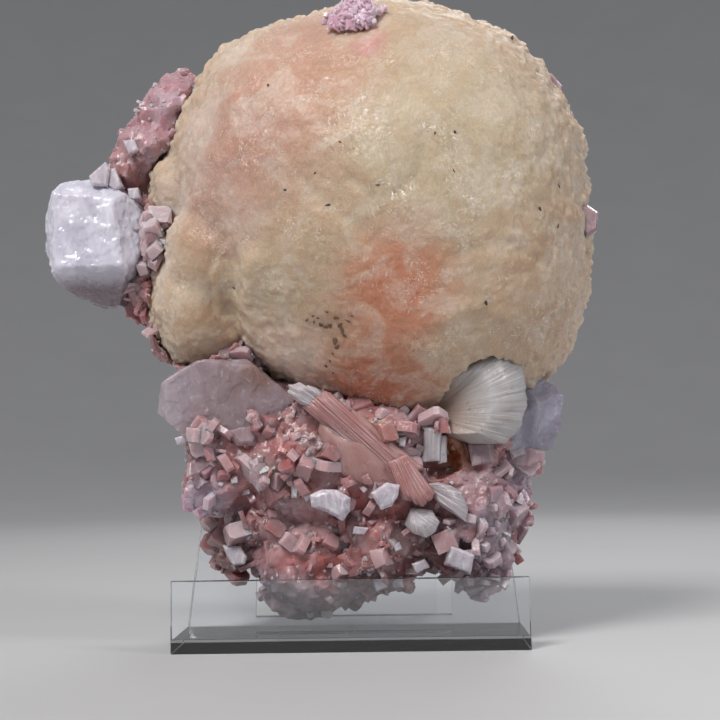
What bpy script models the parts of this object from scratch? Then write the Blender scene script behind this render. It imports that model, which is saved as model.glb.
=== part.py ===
"""Heulandite with stilbite: a crystal specimen on a small clear stand.

Sizes are in millimetres and turned into metres by MM. +Z is up and the front faces -Y.
X = 0 is the middle of the stand, Y = 0 the middle of its shelf and Z = 0 the table.
A cream ball of stilbite sits on a pink crust of heulandite. The larger crystals sit in
sockets of the crust or the ball, and each socket is the crystal's own shape, grown.
"""

import math
import random

import bmesh
import bpy
from mathutils import Euler, Matrix, Vector, noise

MM = 0.001
GAP = 0.3
FLAT_ENOUGH = math.radians(3)

# The stand: one clear sheet bent into a lip, a shelf and a back rest, and a leg cut from
# the back rest's window and bent down behind it.
SHEET = 2.2
LIP_FRONT = -11.0
LIP_HEIGHT = 12.0
SHELF_BACK = 12.0
STAND_HALF_WIDTH = 30.0
REST_LEAN = math.radians(20)
REST_TOP = 60.0
REST_TOP_HALF_WIDTH = 25.0
WINDOW_HALF_WIDTH = 17.8
WINDOW_BOTTOM = 3.6
WINDOW_TOP = 52.0
LEG_HALF_WIDTH = 16.0
LEG_FOOT = 46.0
GATE_MARK = {"radius": 0.8, "proud": 0.3, "height": 3.7}

# The stilbite ball: its outline from the front, as a radius for each direction in
# degrees, and how far it bulges to the front and roots into the crust.
BALL_MIDDLE = (4.6, 6.0, 77.0)
BALL_BULGE = 30.0
BALL_ROOT = 10.0
BALL_RIM = {
    2: 38.6, 12: 40.0, 22: 40.2, 32: 39.4, 40: 39.9, 52: 41.2, 62: 38.2, 74: 38.4,
    90: 38.6, 104: 36.8, 116: 37.0, 128: 40.4, 140: 39.8, 158: 38.4, 178: 36.2,
    196: 32.4, 212: 33.2, 226: 34.6, 244: 35.8, 258: 38.4, 278: 41.6, 296: 43.0,
    312: 44.6, 326: 44.2, 338: 41.2, 348: 40.6,
}
# Low hills and hollows of the ball's face: direction, spread in degrees and height.
BALL_HILLS = (
    ((0.04, -1.0, 0.24), 14, 1.1),
    ((0.18, -1.0, -0.36), 13, -1.0),
    ((-0.55, -1.0, 0.45), 16, 0.9),
    ((0.62, -1.0, 0.30), 15, 0.9),
    ((-0.45, -1.0, -0.35), 15, 0.8),
    ((-0.15, -1.0, 0.62), 10, -0.9),
    ((0.75, -1.0, -0.55), 14, 1.0),
    ((0.25, -1.0, 0.95), 14, 0.8),
)
BALL_RIPPLE = 0.5
BALL_SEGMENTS = 34
BALL_RINGS = 15
# Side growths of the ball: middle, radii and roughness.
BALL_LOBES = (
    ((-25.4, 5.0, 60.8), (10.2, 13.0, 14.0), 0.06),
    ((-28.6, 6.0, 80.6), (7.2, 10.5, 8.0), 0.06),
    ((-22.0, 3.0, 68.0), (11.0, 14.5, 13.0), 0.05),
)

# Lumps of the crust: middle, radii, roughness, and how many small crystals of which
# half width stand on it.
CRUST_CRYSTAL = (1.5, 3.0)
DRUSE_CRYSTAL = (0.9, 1.7)
CRUST_LUMPS = (
    ((1.0, 3.5, 33.0), (27.0, 16.0, 17.5), 0.10, 24, CRUST_CRYSTAL),
    ((0.0, 14.5, 35.0), (23.0, 10.0, 19.0), 0.14, 0, CRUST_CRYSTAL),
    ((-6.5, 1.0, 14.2), (10.6, 8.2, 9.4), 0.08, 3, DRUSE_CRYSTAL),
    ((5.5, 0.0, 20.0), (10.5, 10.0, 11.4), 0.12, 9, CRUST_CRYSTAL),
    ((21.4, 1.5, 22.0), (8.8, 11.0, 12.0), 0.12, 9, CRUST_CRYSTAL),
    ((-20.0, 3.5, 33.0), (8.8, 13.0, 13.0), 0.12, 8, CRUST_CRYSTAL),
    ((-20.5, 4.0, 17.6), (4.8, 6.0, 5.8), 0.12, 2, DRUSE_CRYSTAL),
    ((27.0, 4.5, 35.5), (7.6, 9.0, 9.0), 0.12, 4, CRUST_CRYSTAL),
    ((-7.5, 3.0, 9.6), (9.0, 5.6, 6.2), 0.05, 0, CRUST_CRYSTAL),
    ((-14.0, 2.0, 21.5), (6.5, 7.5, 6.5), 0.12, 3, DRUSE_CRYSTAL),
    ((-22.0, 4.0, 50.0), (10.0, 8.0, 6.0), 0.12, 3, DRUSE_CRYSTAL),
    ((4.0, 17.0, 75.0), (36.5, 15.0, 37.5), 0.14, 9, CRUST_CRYSTAL),
    ((-31.0, 9.5, 70.0), (9.6, 8.5, 19.0), 0.14, 6, DRUSE_CRYSTAL),
    ((-26.0, 13.5, 89.0), (11.0, 8.0, 12.0), 0.12, 0, DRUSE_CRYSTAL),
    ((-34.6, 7.0, 62.0), (6.0, 6.4, 4.8), 0.16, 3, DRUSE_CRYSTAL),
    ((-35.0, 4.0, 71.5), (4.6, 8.0, 7.5), 0.12, 3, DRUSE_CRYSTAL),
    ((-31.5, 5.0, 54.5), (5.0, 6.5, 5.5), 0.14, 3, DRUSE_CRYSTAL),
    ((-31.4, 8.0, 96.0), (6.2, 7.0, 7.4), 0.14, 8, DRUSE_CRYSTAL),
    ((-35.8, 7.0, 89.6), (6.2, 7.0, 7.0), 0.14, 8, DRUSE_CRYSTAL),
    ((-39.6, 6.0, 84.8), (4.2, 5.0, 4.2), 0.14, 4, DRUSE_CRYSTAL),
    ((33.0, 13.0, 95.0), (6.4, 8.0, 7.0), 0.14, 3, DRUSE_CRYSTAL),
    ((36.5, 11.0, 50.0), (5.4, 7.0, 7.6), 0.14, 3, DRUSE_CRYSTAL),
)
# Flat chips struck off each lump: how many, and how far from its middle as shares of its
# radius. The largest lump is the broken back of the crust.
LUMP_CHIPS = (12, (0.78, 0.95))
BACK_CHIPS = (30, (0.66, 0.86))
LARGE_LUMP = 30.0
# Hollows of the crust: middle and radii.
CRUST_PITS = (
    ((15.8, -9.0, 32.0), (6.2, 7.0, 4.0)),
    ((-39.5, 1.0, 80.0), (3.0, 4.0, 2.4)),
    ((-11.0, -10.5, 28.0), (2.6, 3.4, 3.2)),
)

# The larger heulandite crystals: half sizes, middle, turn in degrees about X, Y and Z,
# and the faces that cut the block, each a direction and its distance from the middle.
LEFT_CRYSTAL = {
    "half": (9.0, 7.6, 11.6),
    "middle": (-44.4, 3.6, 71.4),
    "turn": (0, 0, -4),
    "faces": (
        (-0.90, 0.0, 0.43, 10.0), (-0.19, 0.0, 0.98, 11.3), (0.54, 0.0, 0.84, 10.1),
        (0.77, 0.0, 0.63, 9.8), (0.87, 0.0, -0.50, 8.8), (-0.94, 0.0, -0.33, 8.9),
        (-0.47, 0.0, -0.88, 10.4), (0.0, -0.62, -0.78, 8.7), (0.10, -0.70, 0.70, 10.4),
        (-0.80, -0.60, 0.0, 9.7), (0.70, -0.70, 0.10, 9.0), (-0.1, 0.9, 0.5, 8.4),
    ),
}
PLATE = {
    "half": (12.4, 2.6, 7.2),
    "middle": (-21.4, -5.0, 42.4),
    "turn": (5, -2, 5),
    "faces": (
        (-0.98, 0.0, 0.21, 11.0), (-0.49, 0.0, 0.87, 8.4), (0.68, 0.0, 0.73, 8.4),
        (0.72, 0.0, -0.70, 9.2), (0.28, 0.0, -0.96, 6.2), (-0.66, 0.0, -0.75, 9.2),
        (-0.72, 0.0, -0.70, 9.4), (-0.80, -0.60, 0.0, 9.4), (0.1, -0.75, 0.66, 6.2),
    ),
}
BLOCK = {
    "half": (6.2, 5.6, 6.2),
    "middle": (33.2, 1.6, 39.2),
    "turn": (0, 0, 0),
    "faces": (
        (0.49, 0.0, 0.87, 5.9), (0.89, 0.0, 0.45, 5.1), (1.0, 0.0, -0.09, 3.9),
        (0.96, 0.0, -0.28, 4.2), (-0.81, 0.0, 0.59, 4.6), (-0.10, -0.85, 0.50, 5.1),
        (0.25, -0.95, -0.20, 4.4),
    ),
}
PENTAGON = {
    "half": (2.7, 2.6, 2.6),
    "middle": (6.0, -12.4, 25.8),
    "turn": (-8, 6, 10),
    "faces": (
        (-0.66, 0.0, 0.75, 1.9), (0.35, 0.0, 0.94, 2.3), (0.97, 0.0, -0.25, 2.2),
        (0.62, 0.0, -0.79, 1.8), (-0.41, 0.0, -0.91, 2.3), (-0.60, -0.80, 0.0, 2.5),
    ),
}
# Tablets that stand out singly: half sizes, middle and turn.
TABLETS = {
    "heulandite_cube": ((2.5, 2.4, 2.4), (18.2, -7.2, 15.8), (8, 12, -14)),
    "heulandite_cube_small": ((1.7, 1.8, 1.3), (11.8, -6.6, 14.6), (-10, -14, 20)),
    "heulandite_lens": ((3.7, 1.6, 2.9), (-2.9, -11.6, 25.1), (14, 8, -10)),
    "heulandite_foot": ((2.0, 1.5, 1.7), (-20.8, -1.6, 16.4), (-12, 20, 16)),
}
SHOULDER = 0.35
TIP = 0.45

# Fans of stilbite blades in the picture plane: where they spring from, their reach,
# first and last direction in degrees, blade width and depth, how many blades, how far
# the tips lean to the front, and the root's share of the width.
SHEAF = {"root": (14.2, -4.4, 37.6), "reach": 18.4, "span": (-5, 46), "blade": (4.4, 8.8),
         "count": 9, "lean": 6.0, "root_share": 0.6, "seed": 4}
SPRAY_SPINE = {"root": (7.6, -12.4, 30.0), "reach": 24.0, "span": (135, 145),
               "blade": (2.8, 4.4), "count": 4, "lean": -0.8, "root_share": 0.8, "seed": 11}
SPRAY_SHEET = {"root": (-4.6, -10.4, 41.6), "reach": 19.0, "span": (-66, -32),
               "blade": (4.0, 5.0), "count": 6, "lean": 3.2, "root_share": 0.6, "seed": 12}
SMALL_FAN = {"root": (10.4, -10.2, 23.6), "reach": 6.6, "span": (-84, -36),
             "blade": (1.7, 3.2), "count": 5, "lean": 2.2, "root_share": 0.5, "seed": 13}
CURVED_BLADE = {"root": (12.8, -9.8, 27.8), "reach": 7.6, "span": (-60, -24),
                "blade": (2.4, 4.0), "count": 4, "lean": 2.6, "root_share": 0.8, "seed": 14}
UPRIGHT_BLADE = {"root": (13.2, -6.4, 30.0), "reach": 7.4, "span": (80, 92),
                 "blade": (2.0, 2.2), "count": 2, "lean": 0.6, "root_share": 0.9, "seed": 15}

# The lilac tuft on top of the ball: middle, radii, roughness and small crystals.
TUFT_LUMP = ((3.0, -11.5, 105.2), (5.2, 4.4, 4.2), 0.18, 14, DRUSE_CRYSTAL)


def rotation(turn):
    """A turn about X, Y and Z in degrees, as a matrix."""
    return Euler([math.radians(angle) for angle in turn]).to_matrix().to_4x4()


def put(bm, middle, turn=(0, 0, 0)):
    """Turns a mesh about its own middle and carries it to its place."""
    bm.transform(Matrix.Translation(middle) @ rotation(turn))
    return bm


def block(half, grow=0.0):
    """A plain block about the origin, from its half sizes."""
    bm = bmesh.new()
    bmesh.ops.create_cube(bm, size=2.0)
    bmesh.ops.scale(bm, vec=[side + grow for side in half], verts=bm.verts)
    return bm


def slice_off(bm, normal, distance):
    """Takes off what lies beyond a plane and closes the cut with one flat face."""
    normal = Vector(normal).normalized()
    whole = bm.verts[:] + bm.edges[:] + bm.faces[:]
    cut = bmesh.ops.bisect_plane(
        bm, geom=whole, plane_co=normal * distance, plane_no=normal, clear_outer=True
    )
    rim = [part for part in cut["geom_cut"] if isinstance(part, bmesh.types.BMEdge)]
    if rim:
        bmesh.ops.contextual_create(bm, geom=rim)


def cut_crystal(spec, grow=0.0):
    """A crystal with its own list of faces."""
    bm = block(spec["half"], grow)
    for *normal, distance in spec["faces"]:
        slice_off(bm, normal, distance + grow)
    return put(bm, spec["middle"], spec["turn"])


def tablet(half, middle, turn, seed, grow=0.0):
    """A heulandite tablet: a coffin outline, its broad faces looking along Y."""
    wide, _, tall = half
    chance = random.Random(seed)
    bm = block(half, grow)
    for side in (-1, 1):
        for end in (-1, 1):
            shoulder = (SHOULDER + chance.uniform(-0.15, 0.2)) * tall
            tip = (TIP + chance.uniform(-0.2, 0.2)) * wide
            normal = Vector((side * (tall - shoulder), 0, end * (wide - tip))).normalized()
            slice_off(bm, normal, normal.dot((side * wide, 0, end * shoulder)) + grow)
    return put(bm, middle, turn)


def wedge(length, width, depth, root_share, chance, grow=0.0):
    """A stilbite blade along +X from the origin, narrow at the root, blunt at the tip."""
    bm = block((length / 2, width / 2, depth / 2), grow)
    for vert in bm.verts:
        if vert.co.x < 0:
            vert.co.y *= root_share
            vert.co.z *= root_share
        vert.co.x += length / 2
    for side in (-1, 1):
        normal = Vector((1.0, side * chance.uniform(0.5, 0.9), 0.0)).normalized()
        slice_off(bm, normal, normal.x * length + grow)
        normal = Vector((1.0, 0.0, side * chance.uniform(0.3, 0.7))).normalized()
        slice_off(bm, normal, normal.x * length + grow)
    return bm


def fan(spec, grow=0.0):
    """A sheaf of blades that spring from one root and spread in the picture plane."""
    chance = random.Random(spec["seed"])
    first, last = spec["span"]
    width, depth = spec["blade"]
    blades = []
    for n in range(spec["count"]):
        angle = first + (last - first) * n / (spec["count"] - 1)
        reach = spec["reach"] * chance.uniform(0.9, 1.0)
        bm = wedge(reach, width, depth * chance.uniform(0.85, 1.0), spec["root_share"],
                   chance, grow)
        lean = math.degrees(math.atan2(spec["lean"] * chance.uniform(0.85, 1.15), reach))
        # Lies along X, its depth along Y: lean it to the front, then turn it in the plane.
        bm.transform(rotation((90, 0, 0)))
        bm.transform(rotation((0, 0, -lean)))
        bm.transform(rotation((0, -angle, 0)))
        blades.append(put(bm, spec["root"]))
    return blades


def blades_of(specs, grow=0.0):
    return [blade for spec in specs for blade in fan(spec, grow)]


def any_way(chance):
    """A random direction, as likely one way as another."""
    return Vector([chance.gauss(0, 1) for _ in range(3)]).normalized()


def lump(middle, radii, rough, seed, detail=2, grow=0.0, chips=(0, (1.0, 1.0))):
    """A rounded lump whose skin swells with seeded noise, with flat chips struck off it."""
    chance = random.Random(seed)
    count, depths = chips
    faces = [(any_way(chance), chance.uniform(*depths)) for _ in range(count)]
    shift = Vector((7.3, 3.1, 5.7)) * seed
    bm = bmesh.new()
    bmesh.ops.create_icosphere(bm, subdivisions=detail, radius=1.0)
    for vert in bm.verts:
        way = vert.co.normalized()
        swell = 1 + rough * (noise.noise(way * 1.9 + shift) + 0.6 * noise.noise(way * 4.1 - shift))
        for face, depth in faces:
            if way.dot(face) * swell > depth:
                swell = depth / way.dot(face)
        vert.co = Vector([w * (r * swell + grow) for w, r in zip(way, radii)])
    return put(bm, middle)


def crystals_on(middle, radii, count, size_range, seed):
    """Small tablets that stand out of a lump, more of them towards the front."""
    chance = random.Random(seed)
    pieces = []
    while len(pieces) < count:
        way = any_way(chance)
        if way.y > 0.2 and chance.random() < 0.75:
            continue
        size = chance.uniform(*size_range)
        half = (size, size * chance.uniform(0.3, 0.55), size * chance.uniform(0.9, 1.4))
        foot = Vector(middle) + Vector([w * r for w, r in zip(way, radii)])
        turn = [chance.uniform(-60, 60), chance.uniform(-90, 90), chance.uniform(-60, 60)]
        pieces.append(tablet(half, foot - way * size * 0.2, turn, chance.random()))
    return pieces


def rim_radius(angle):
    """The ball's outline radius in any direction, eased between the listed ones."""
    marks = sorted(BALL_RIM)
    after = next((mark for mark in marks if mark > angle), marks[0] + 360)
    before = marks[marks.index(after % 360) - 1]
    span = (after - before) % 360
    share = ((angle - before) % 360) / span
    ease = share * share * (3 - 2 * share)
    return BALL_RIM[before] * (1 - ease) + BALL_RIM[after % 360] * ease


def ball_dome(grow=0.0):
    """The ball's main dome, with its hills, hollows and a fine ripple."""
    bm = bmesh.new()
    bmesh.ops.create_uvsphere(bm, u_segments=BALL_SEGMENTS, v_segments=BALL_RINGS, radius=1.0)
    bm.transform(rotation((90, 0, 0)))
    hills = [(Vector(way).normalized(), math.radians(spread), height)
             for way, spread, height in BALL_HILLS]
    for vert in bm.verts:
        way = vert.co.normalized()
        rim = rim_radius(math.degrees(math.atan2(way.z, way.x)) % 360) + grow
        reach = (BALL_BULGE if way.y < 0 else BALL_ROOT) + grow
        lift = BALL_RIPPLE * noise.noise(way * 6.0)
        for hill, spread, height in hills:
            lift += height * math.exp(-(way.angle(hill) / spread) ** 2)
        vert.co = Vector((way.x * rim, way.y * reach, way.z * rim)) + way * lift
    return put(bm, BALL_MIDDLE)


def ball_shapes(grow=0.0):
    lobes = [lump(*lobe, seed=n + 1, detail=3, grow=grow) for n, lobe in enumerate(BALL_LOBES)]
    return [ball_dome(grow)] + lobes


def crust_shapes():
    shapes = []
    for n, (middle, radii, rough, count, size) in enumerate(CRUST_LUMPS):
        detail, chips = (3, BACK_CHIPS) if max(radii) > LARGE_LUMP else (2, LUMP_CHIPS)
        shapes.append(lump(middle, radii, rough, n + 20, detail, chips=chips))
        shapes += crystals_on(middle, radii, count, size, seed=n + 100)
    return shapes


def tuft_shapes():
    middle, radii, rough, count, size = TUFT_LUMP
    return [lump(middle, radii, rough, seed=9)] + crystals_on(middle, radii, count, size, seed=77)


def finish(name, colour, roughness, transmission=0.0):
    """A plain Principled material."""
    material = bpy.data.materials.new(name)
    material.use_nodes = True
    shader = material.node_tree.nodes["Principled BSDF"]
    shader.inputs["Base Color"].default_value = (*colour, 1.0)
    shader.inputs["Roughness"].default_value = roughness
    shader.inputs["Metallic"].default_value = 0.0
    shader.inputs["Transmission Weight"].default_value = transmission
    return material


def add_object(name, bm, collection):
    """Turns a mesh in millimetres into an object in metres."""
    bmesh.ops.recalc_face_normals(bm, faces=bm.faces)
    bmesh.ops.triangulate(bm, faces=bm.faces)
    bmesh.ops.scale(bm, vec=(MM, MM, MM), verts=bm.verts)
    mesh = bpy.data.meshes.new(name)
    bm.to_mesh(mesh)
    bm.free()
    made = bpy.data.objects.new(name, mesh)
    collection.objects.link(made)
    return made


def add_helpers(name, shapes):
    """A collection of shapes that only a Boolean uses."""
    collection = bpy.data.collections.new(name)
    helpers.children.link(collection)
    for n, bm in enumerate(shapes):
        helper = add_object(f"{name}_{n}", bm, collection)
        helper.hide_render = True
        helper.display_type = "WIRE"
    return collection


def largest_piece(mesh):
    """Deletes the crumbs that a cut left loose, and keeps the main body."""
    bm = bmesh.new()
    bm.from_mesh(mesh)
    bmesh.ops.remove_doubles(bm, verts=bm.verts, dist=1e-7)
    left = set(bm.faces)
    bodies = []
    while left:
        body, edge = set(), [left.pop()]
        while edge:
            face = edge.pop()
            body.add(face)
            near = {other for side in face.edges for other in side.link_faces} & left
            left -= near
            edge += near
        bodies.append(body)
    bodies.sort(key=len)
    crumbs = [face for body in bodies[:-1] for face in body]
    bmesh.ops.delete(bm, geom=crumbs, context="FACES")
    bmesh.ops.dissolve_limit(bm, angle_limit=FLAT_ENOUGH, verts=bm.verts, edges=bm.edges)
    bmesh.ops.triangulate(bm, faces=bm.faces)
    bm.to_mesh(mesh)
    bm.free()


def add_joined(name, shapes, collection):
    """One object from overlapping shapes, joined by a Boolean."""
    joined = add_object(name, shapes[0], collection)
    if shapes[1:]:
        modifier = joined.modifiers.new("Join", "BOOLEAN")
        modifier.operation = "UNION"
        modifier.operand_type = "COLLECTION"
        modifier.collection = add_helpers(f"{name}_shapes", shapes[1:])
    return joined


def add_cutter(name, shapes):
    """A helper object that cuts a socket or a hollow."""
    cutter = add_joined(name, shapes, helpers)
    cutter.hide_render = True
    cutter.display_type = "WIRE"
    return cutter


def add_node(name, shapes, material, cutters=()):
    """One node: its shapes joined, less what the cutters take out of it."""
    node = add_joined(name, shapes, parts)
    for cutter in cutters:
        modifier = node.modifiers.new(cutter.name, "BOOLEAN")
        modifier.operation = "DIFFERENCE"
        modifier.object = cutter
    solid = bpy.data.meshes.new_from_object(
        node.evaluated_get(bpy.context.evaluated_depsgraph_get())
    )
    node.modifiers.clear()
    node.data = solid
    node.data.materials.append(material)
    largest_piece(solid)
    print(f"{name}: {len(solid.polygons)} faces")
    return node


def stand_sheet():
    """The bent sheet, as a strip whose rows follow the lip, the shelf and the back rest."""
    rest_back = SHELF_BACK + math.tan(REST_LEAN) * REST_TOP
    rows = (
        (LIP_FRONT, LIP_HEIGHT, STAND_HALF_WIDTH),
        (LIP_FRONT, 0.0, STAND_HALF_WIDTH),
        (SHELF_BACK, 0.0, STAND_HALF_WIDTH),
        (rest_back, REST_TOP, REST_TOP_HALF_WIDTH),
    )
    bm = bmesh.new()
    bmesh.ops.create_grid(bm, x_segments=1, y_segments=len(rows) - 1, size=1.0)
    for vert in bm.verts:
        row = round((1 - vert.co.y) / 2 * (len(rows) - 1))
        y, z, half = rows[row]
        vert.co = Vector((math.copysign(half, vert.co.x), y, z))
    return bm


def stand_window():
    """The cutter for the back rest's window."""
    middle = (WINDOW_BOTTOM + WINDOW_TOP) / 2
    half = (WINDOW_HALF_WIDTH, SHEET * 2, (WINDOW_TOP - WINDOW_BOTTOM) / 2 / math.cos(REST_LEAN))
    back = SHELF_BACK + math.tan(REST_LEAN) * middle - SHEET / 2 / math.cos(REST_LEAN)
    return put(block(half), (0, back, middle), (-math.degrees(REST_LEAN), 0, 0))


def stand_leg():
    """The leg, from just above the window down to the table."""
    top = Vector((0, SHELF_BACK + math.tan(REST_LEAN) * WINDOW_TOP - 1.0, WINDOW_TOP + 0.8))
    foot = Vector((0, LEG_FOOT, 0))
    run = foot - top
    lean = math.degrees(math.atan2(run.y, -run.z))
    bm = block((LEG_HALF_WIDTH, SHEET / 2, run.length / 2 + 1.0))
    put(bm, (top + foot) / 2, (lean, 0, 0))
    slice_off(bm, (0, 0, -1), 0.0)
    return bm


def gate_mark():
    """The round mark that the mould's gate left on the lip."""
    bm = bmesh.new()
    depth = GATE_MARK["proud"] * 2
    bmesh.ops.create_cone(bm, cap_ends=True, segments=16, radius1=GATE_MARK["radius"],
                          radius2=GATE_MARK["radius"], depth=depth)
    return put(bm, (0, LIP_FRONT, GATE_MARK["height"]), (90, 0, 0))


def add_stand(material):
    stand = add_object("acrylic_stand", stand_sheet(), parts)
    stand.data.materials.append(material)
    sheet = stand.modifiers.new("Sheet", "SOLIDIFY")
    sheet.thickness = SHEET * MM
    sheet.offset = 1
    sheet.use_even_offset = True
    for operation, shapes in (("DIFFERENCE", [stand_window()]),
                              ("UNION", [stand_leg(), gate_mark()])):
        modifier = stand.modifiers.new(operation.title(), "BOOLEAN")
        modifier.operation = operation
        modifier.operand_type = "COLLECTION"
        modifier.collection = add_helpers(f"stand_{operation.lower()}", shapes)


def rest_clearance():
    """What lies behind the back rest's front face, where no crystal may reach."""
    middle = REST_TOP / 2 + 2
    half = (STAND_HALF_WIDTH + 8, 30.0, REST_TOP / 2 / math.cos(REST_LEAN) + 4)
    front = SHELF_BACK + math.tan(REST_LEAN) * middle - SHEET / math.cos(REST_LEAN) - GAP
    back = front + half[1] / math.cos(REST_LEAN)
    return put(block(half), (0, back, middle), (-math.degrees(REST_LEAN), 0, 0))


for old in list(bpy.data.objects):
    bpy.data.objects.remove(old, do_unlink=True)
parts = bpy.data.collections.new("heulandite_with_stilbite")
helpers = bpy.data.collections.new("cutters_and_shapes")
for collection in (parts, helpers):
    bpy.context.scene.collection.children.link(collection)

cream = finish("stilbite_cream", (0.80, 0.66, 0.47), 0.45)
white = finish("stilbite_white", (0.86, 0.80, 0.74), 0.35)
salmon = finish("stilbite_salmon", (0.84, 0.52, 0.42), 0.40)
pink = finish("heulandite_pink", (0.78, 0.52, 0.48), 0.50)
lilac = finish("heulandite_lilac", (0.78, 0.72, 0.78), 0.30)
clear = finish("clear_acrylic", (0.95, 0.97, 0.97), 0.05, transmission=1.0)

CUT_CRYSTALS = {
    "heulandite_pentagon": PENTAGON,
    "heulandite_block": BLOCK,
    "heulandite_plate": PLATE,
    "heulandite_left_crystal": LEFT_CRYSTAL,
}
FANS = {
    "stilbite_upright_blade": ([UPRIGHT_BLADE], white),
    "stilbite_fan_small": ([SMALL_FAN], white),
    "stilbite_curved_blade": ([CURVED_BLADE], white),
    "stilbite_sheaf": ([SHEAF], white),
    "stilbite_spray": ([SPRAY_SPINE, SPRAY_SHEET], salmon),
}
add_stand(clear)
# Smallest first: each crystal keeps its shape, and a larger one makes room for it.
sockets = []
for n, (name, placing) in enumerate(TABLETS.items()):
    add_node(name, [tablet(*placing, n)], lilac, sockets)
    sockets.append(add_cutter(f"{name}_socket", [tablet(*placing, n, GAP)]))
for name, spec in CUT_CRYSTALS.items():
    add_node(name, [cut_crystal(spec)], lilac, sockets)
    sockets.append(add_cutter(f"{name}_socket", [cut_crystal(spec, GAP)]))
for name, (specs, material) in FANS.items():
    add_node(name, blades_of(specs), material, sockets)
    sockets.append(add_cutter(f"{name}_socket", blades_of(specs, GAP)))

add_node("stilbite_ball", ball_shapes(), cream, sockets)
ball_socket = add_cutter("ball_socket", ball_shapes(GAP))
add_node("heulandite_tuft", tuft_shapes(), lilac, [ball_socket])
pits = [add_cutter(f"pit_{n}", [lump(middle, radii, 0.1, n, detail=2)])
        for n, (middle, radii) in enumerate(CRUST_PITS)]
behind_rest = add_cutter("behind_rest", [rest_clearance()])
add_node("heulandite_crust", crust_shapes(), pink, [ball_socket, behind_rest] + sockets + pits)
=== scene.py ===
# %% [markdown]
# # Heulandite with stilbite on a clear stand
#
# The subject is a mineral specimen: a cream ball of stilbite, built of thousands of thin
# blades, on a pink crust of heulandite crystals, with larger tablets and silky fans round
# its foot. It leans on a small easel of clear acrylic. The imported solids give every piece
# its place and size, and this lesson dresses them: first the camera, floor and light, then
# a few helpers, then one piece after another.

import math
import random

import bmesh
import bpy
import numpy as np
from mathutils import Matrix, Vector, kdtree, noise
from mathutils.bvhtree import BVHTree


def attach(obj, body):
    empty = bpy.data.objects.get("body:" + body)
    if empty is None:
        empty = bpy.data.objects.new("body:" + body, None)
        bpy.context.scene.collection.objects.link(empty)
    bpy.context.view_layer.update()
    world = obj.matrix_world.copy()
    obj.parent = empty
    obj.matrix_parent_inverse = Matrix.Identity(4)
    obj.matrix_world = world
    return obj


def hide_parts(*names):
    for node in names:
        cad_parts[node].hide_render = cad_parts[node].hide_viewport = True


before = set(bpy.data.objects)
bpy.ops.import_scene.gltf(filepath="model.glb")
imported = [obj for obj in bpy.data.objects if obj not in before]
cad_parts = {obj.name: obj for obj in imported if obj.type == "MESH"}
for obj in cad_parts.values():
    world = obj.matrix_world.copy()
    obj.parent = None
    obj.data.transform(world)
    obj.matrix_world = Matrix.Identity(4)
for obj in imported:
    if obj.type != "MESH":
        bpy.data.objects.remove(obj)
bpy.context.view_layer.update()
MM = 0.001
print("nodes:", ", ".join(sorted(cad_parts)))

# %% [markdown]
# The camera stands where the photographer's did. Its place was worked out from the edges of
# the easel, whose lip is taken as 60 mm long: about 255 mm in front, a little under the
# middle, looking slightly up and to the left. A picture point is given in pixels of a
# 720 by 720 frame, and `picture_ray` turns it into a line of sight, which later puts small
# features on the surface that they belong to.

# %% Camera
FRAME_SIZE = 720  # pixels
FOCAL_PIXELS = 1456
SENSOR = 36.0  # mm
CAMERA_PLACE = Vector((7.5, -255.2, 32.5)) * MM
LOOK_LEFT = math.radians(1.22)
LOOK_UP = math.radians(3.77)
ROLL = math.radians(0.88)

forward = Vector((
    -math.sin(LOOK_LEFT) * math.cos(LOOK_UP),
    math.cos(LOOK_LEFT) * math.cos(LOOK_UP),
    math.sin(LOOK_UP),
))
level = forward.cross(Vector((0, 0, 1))).normalized()
upright = level.cross(forward)
right = level * math.cos(ROLL) - upright * math.sin(ROLL)
up = level * math.sin(ROLL) + upright * math.cos(ROLL)

camera = bpy.data.objects.new("camera", bpy.data.cameras.new("camera"))
camera.data.sensor_width = SENSOR
camera.data.lens = SENSOR * FOCAL_PIXELS / FRAME_SIZE
camera.data.clip_start = 0.01
camera.matrix_world = Matrix.Translation(CAMERA_PLACE) @ Matrix(
    (right, up, -forward)).transposed().to_4x4()
bpy.context.scene.collection.objects.link(camera)
bpy.context.scene.camera = camera


def picture_ray(x, y):
    """The direction in which the camera sees a picture point."""
    middle = FRAME_SIZE / 2
    way = forward + right * ((x - middle) / FOCAL_PIXELS) - up * ((y - middle) / FOCAL_PIXELS)
    return way.normalized()


def at_depth(x, y, depth):
    """The point in millimetres at a picture point, on the upright plane Y = depth."""
    way = picture_ray(x, y)
    return (CAMERA_PLACE + way * ((depth * MM - CAMERA_PLACE.y) / way.y)) / MM


def in_picture(points):
    """The picture points at which the camera sees points that are given in millimetres."""
    away = points * MM - np.array(CAMERA_PLACE)
    across, over, deep = (away @ np.array(way) for way in (right, up, forward))
    middle = FRAME_SIZE / 2
    return np.stack((middle + FOCAL_PIXELS * across / deep,
                     middle - FOCAL_PIXELS * over / deep), 1)


def line_distance(pixels, line):
    """Distance in pixels from a line of picture points, positive on its left as it runs down."""
    best = np.full(len(pixels), 1e9)
    side = np.zeros(len(pixels))
    for first, second in zip(line, line[1:]):
        way = np.subtract(second, first).astype(float)
        off = pixels - first
        share = np.clip(off @ way / (way @ way), 0, 1)
        distance = np.linalg.norm(off - share[:, None] * way, axis=1)
        nearer = distance < best
        turn = np.sign(way[0] * off[:, 1] - way[1] * off[:, 0])
        best = np.where(nearer, distance, best)
        side = np.where(nearer, turn, side)
    return best * side


print(f"lens {camera.data.lens:.1f} mm")

# %% [markdown]
# Shader sums are easier to read as plain Python. `Field` stands for one socket of a
# material, and its signs add the Math nodes. `Finish` is one material: its `node` method
# makes any node from its type, its settings and its sockets.

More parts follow.
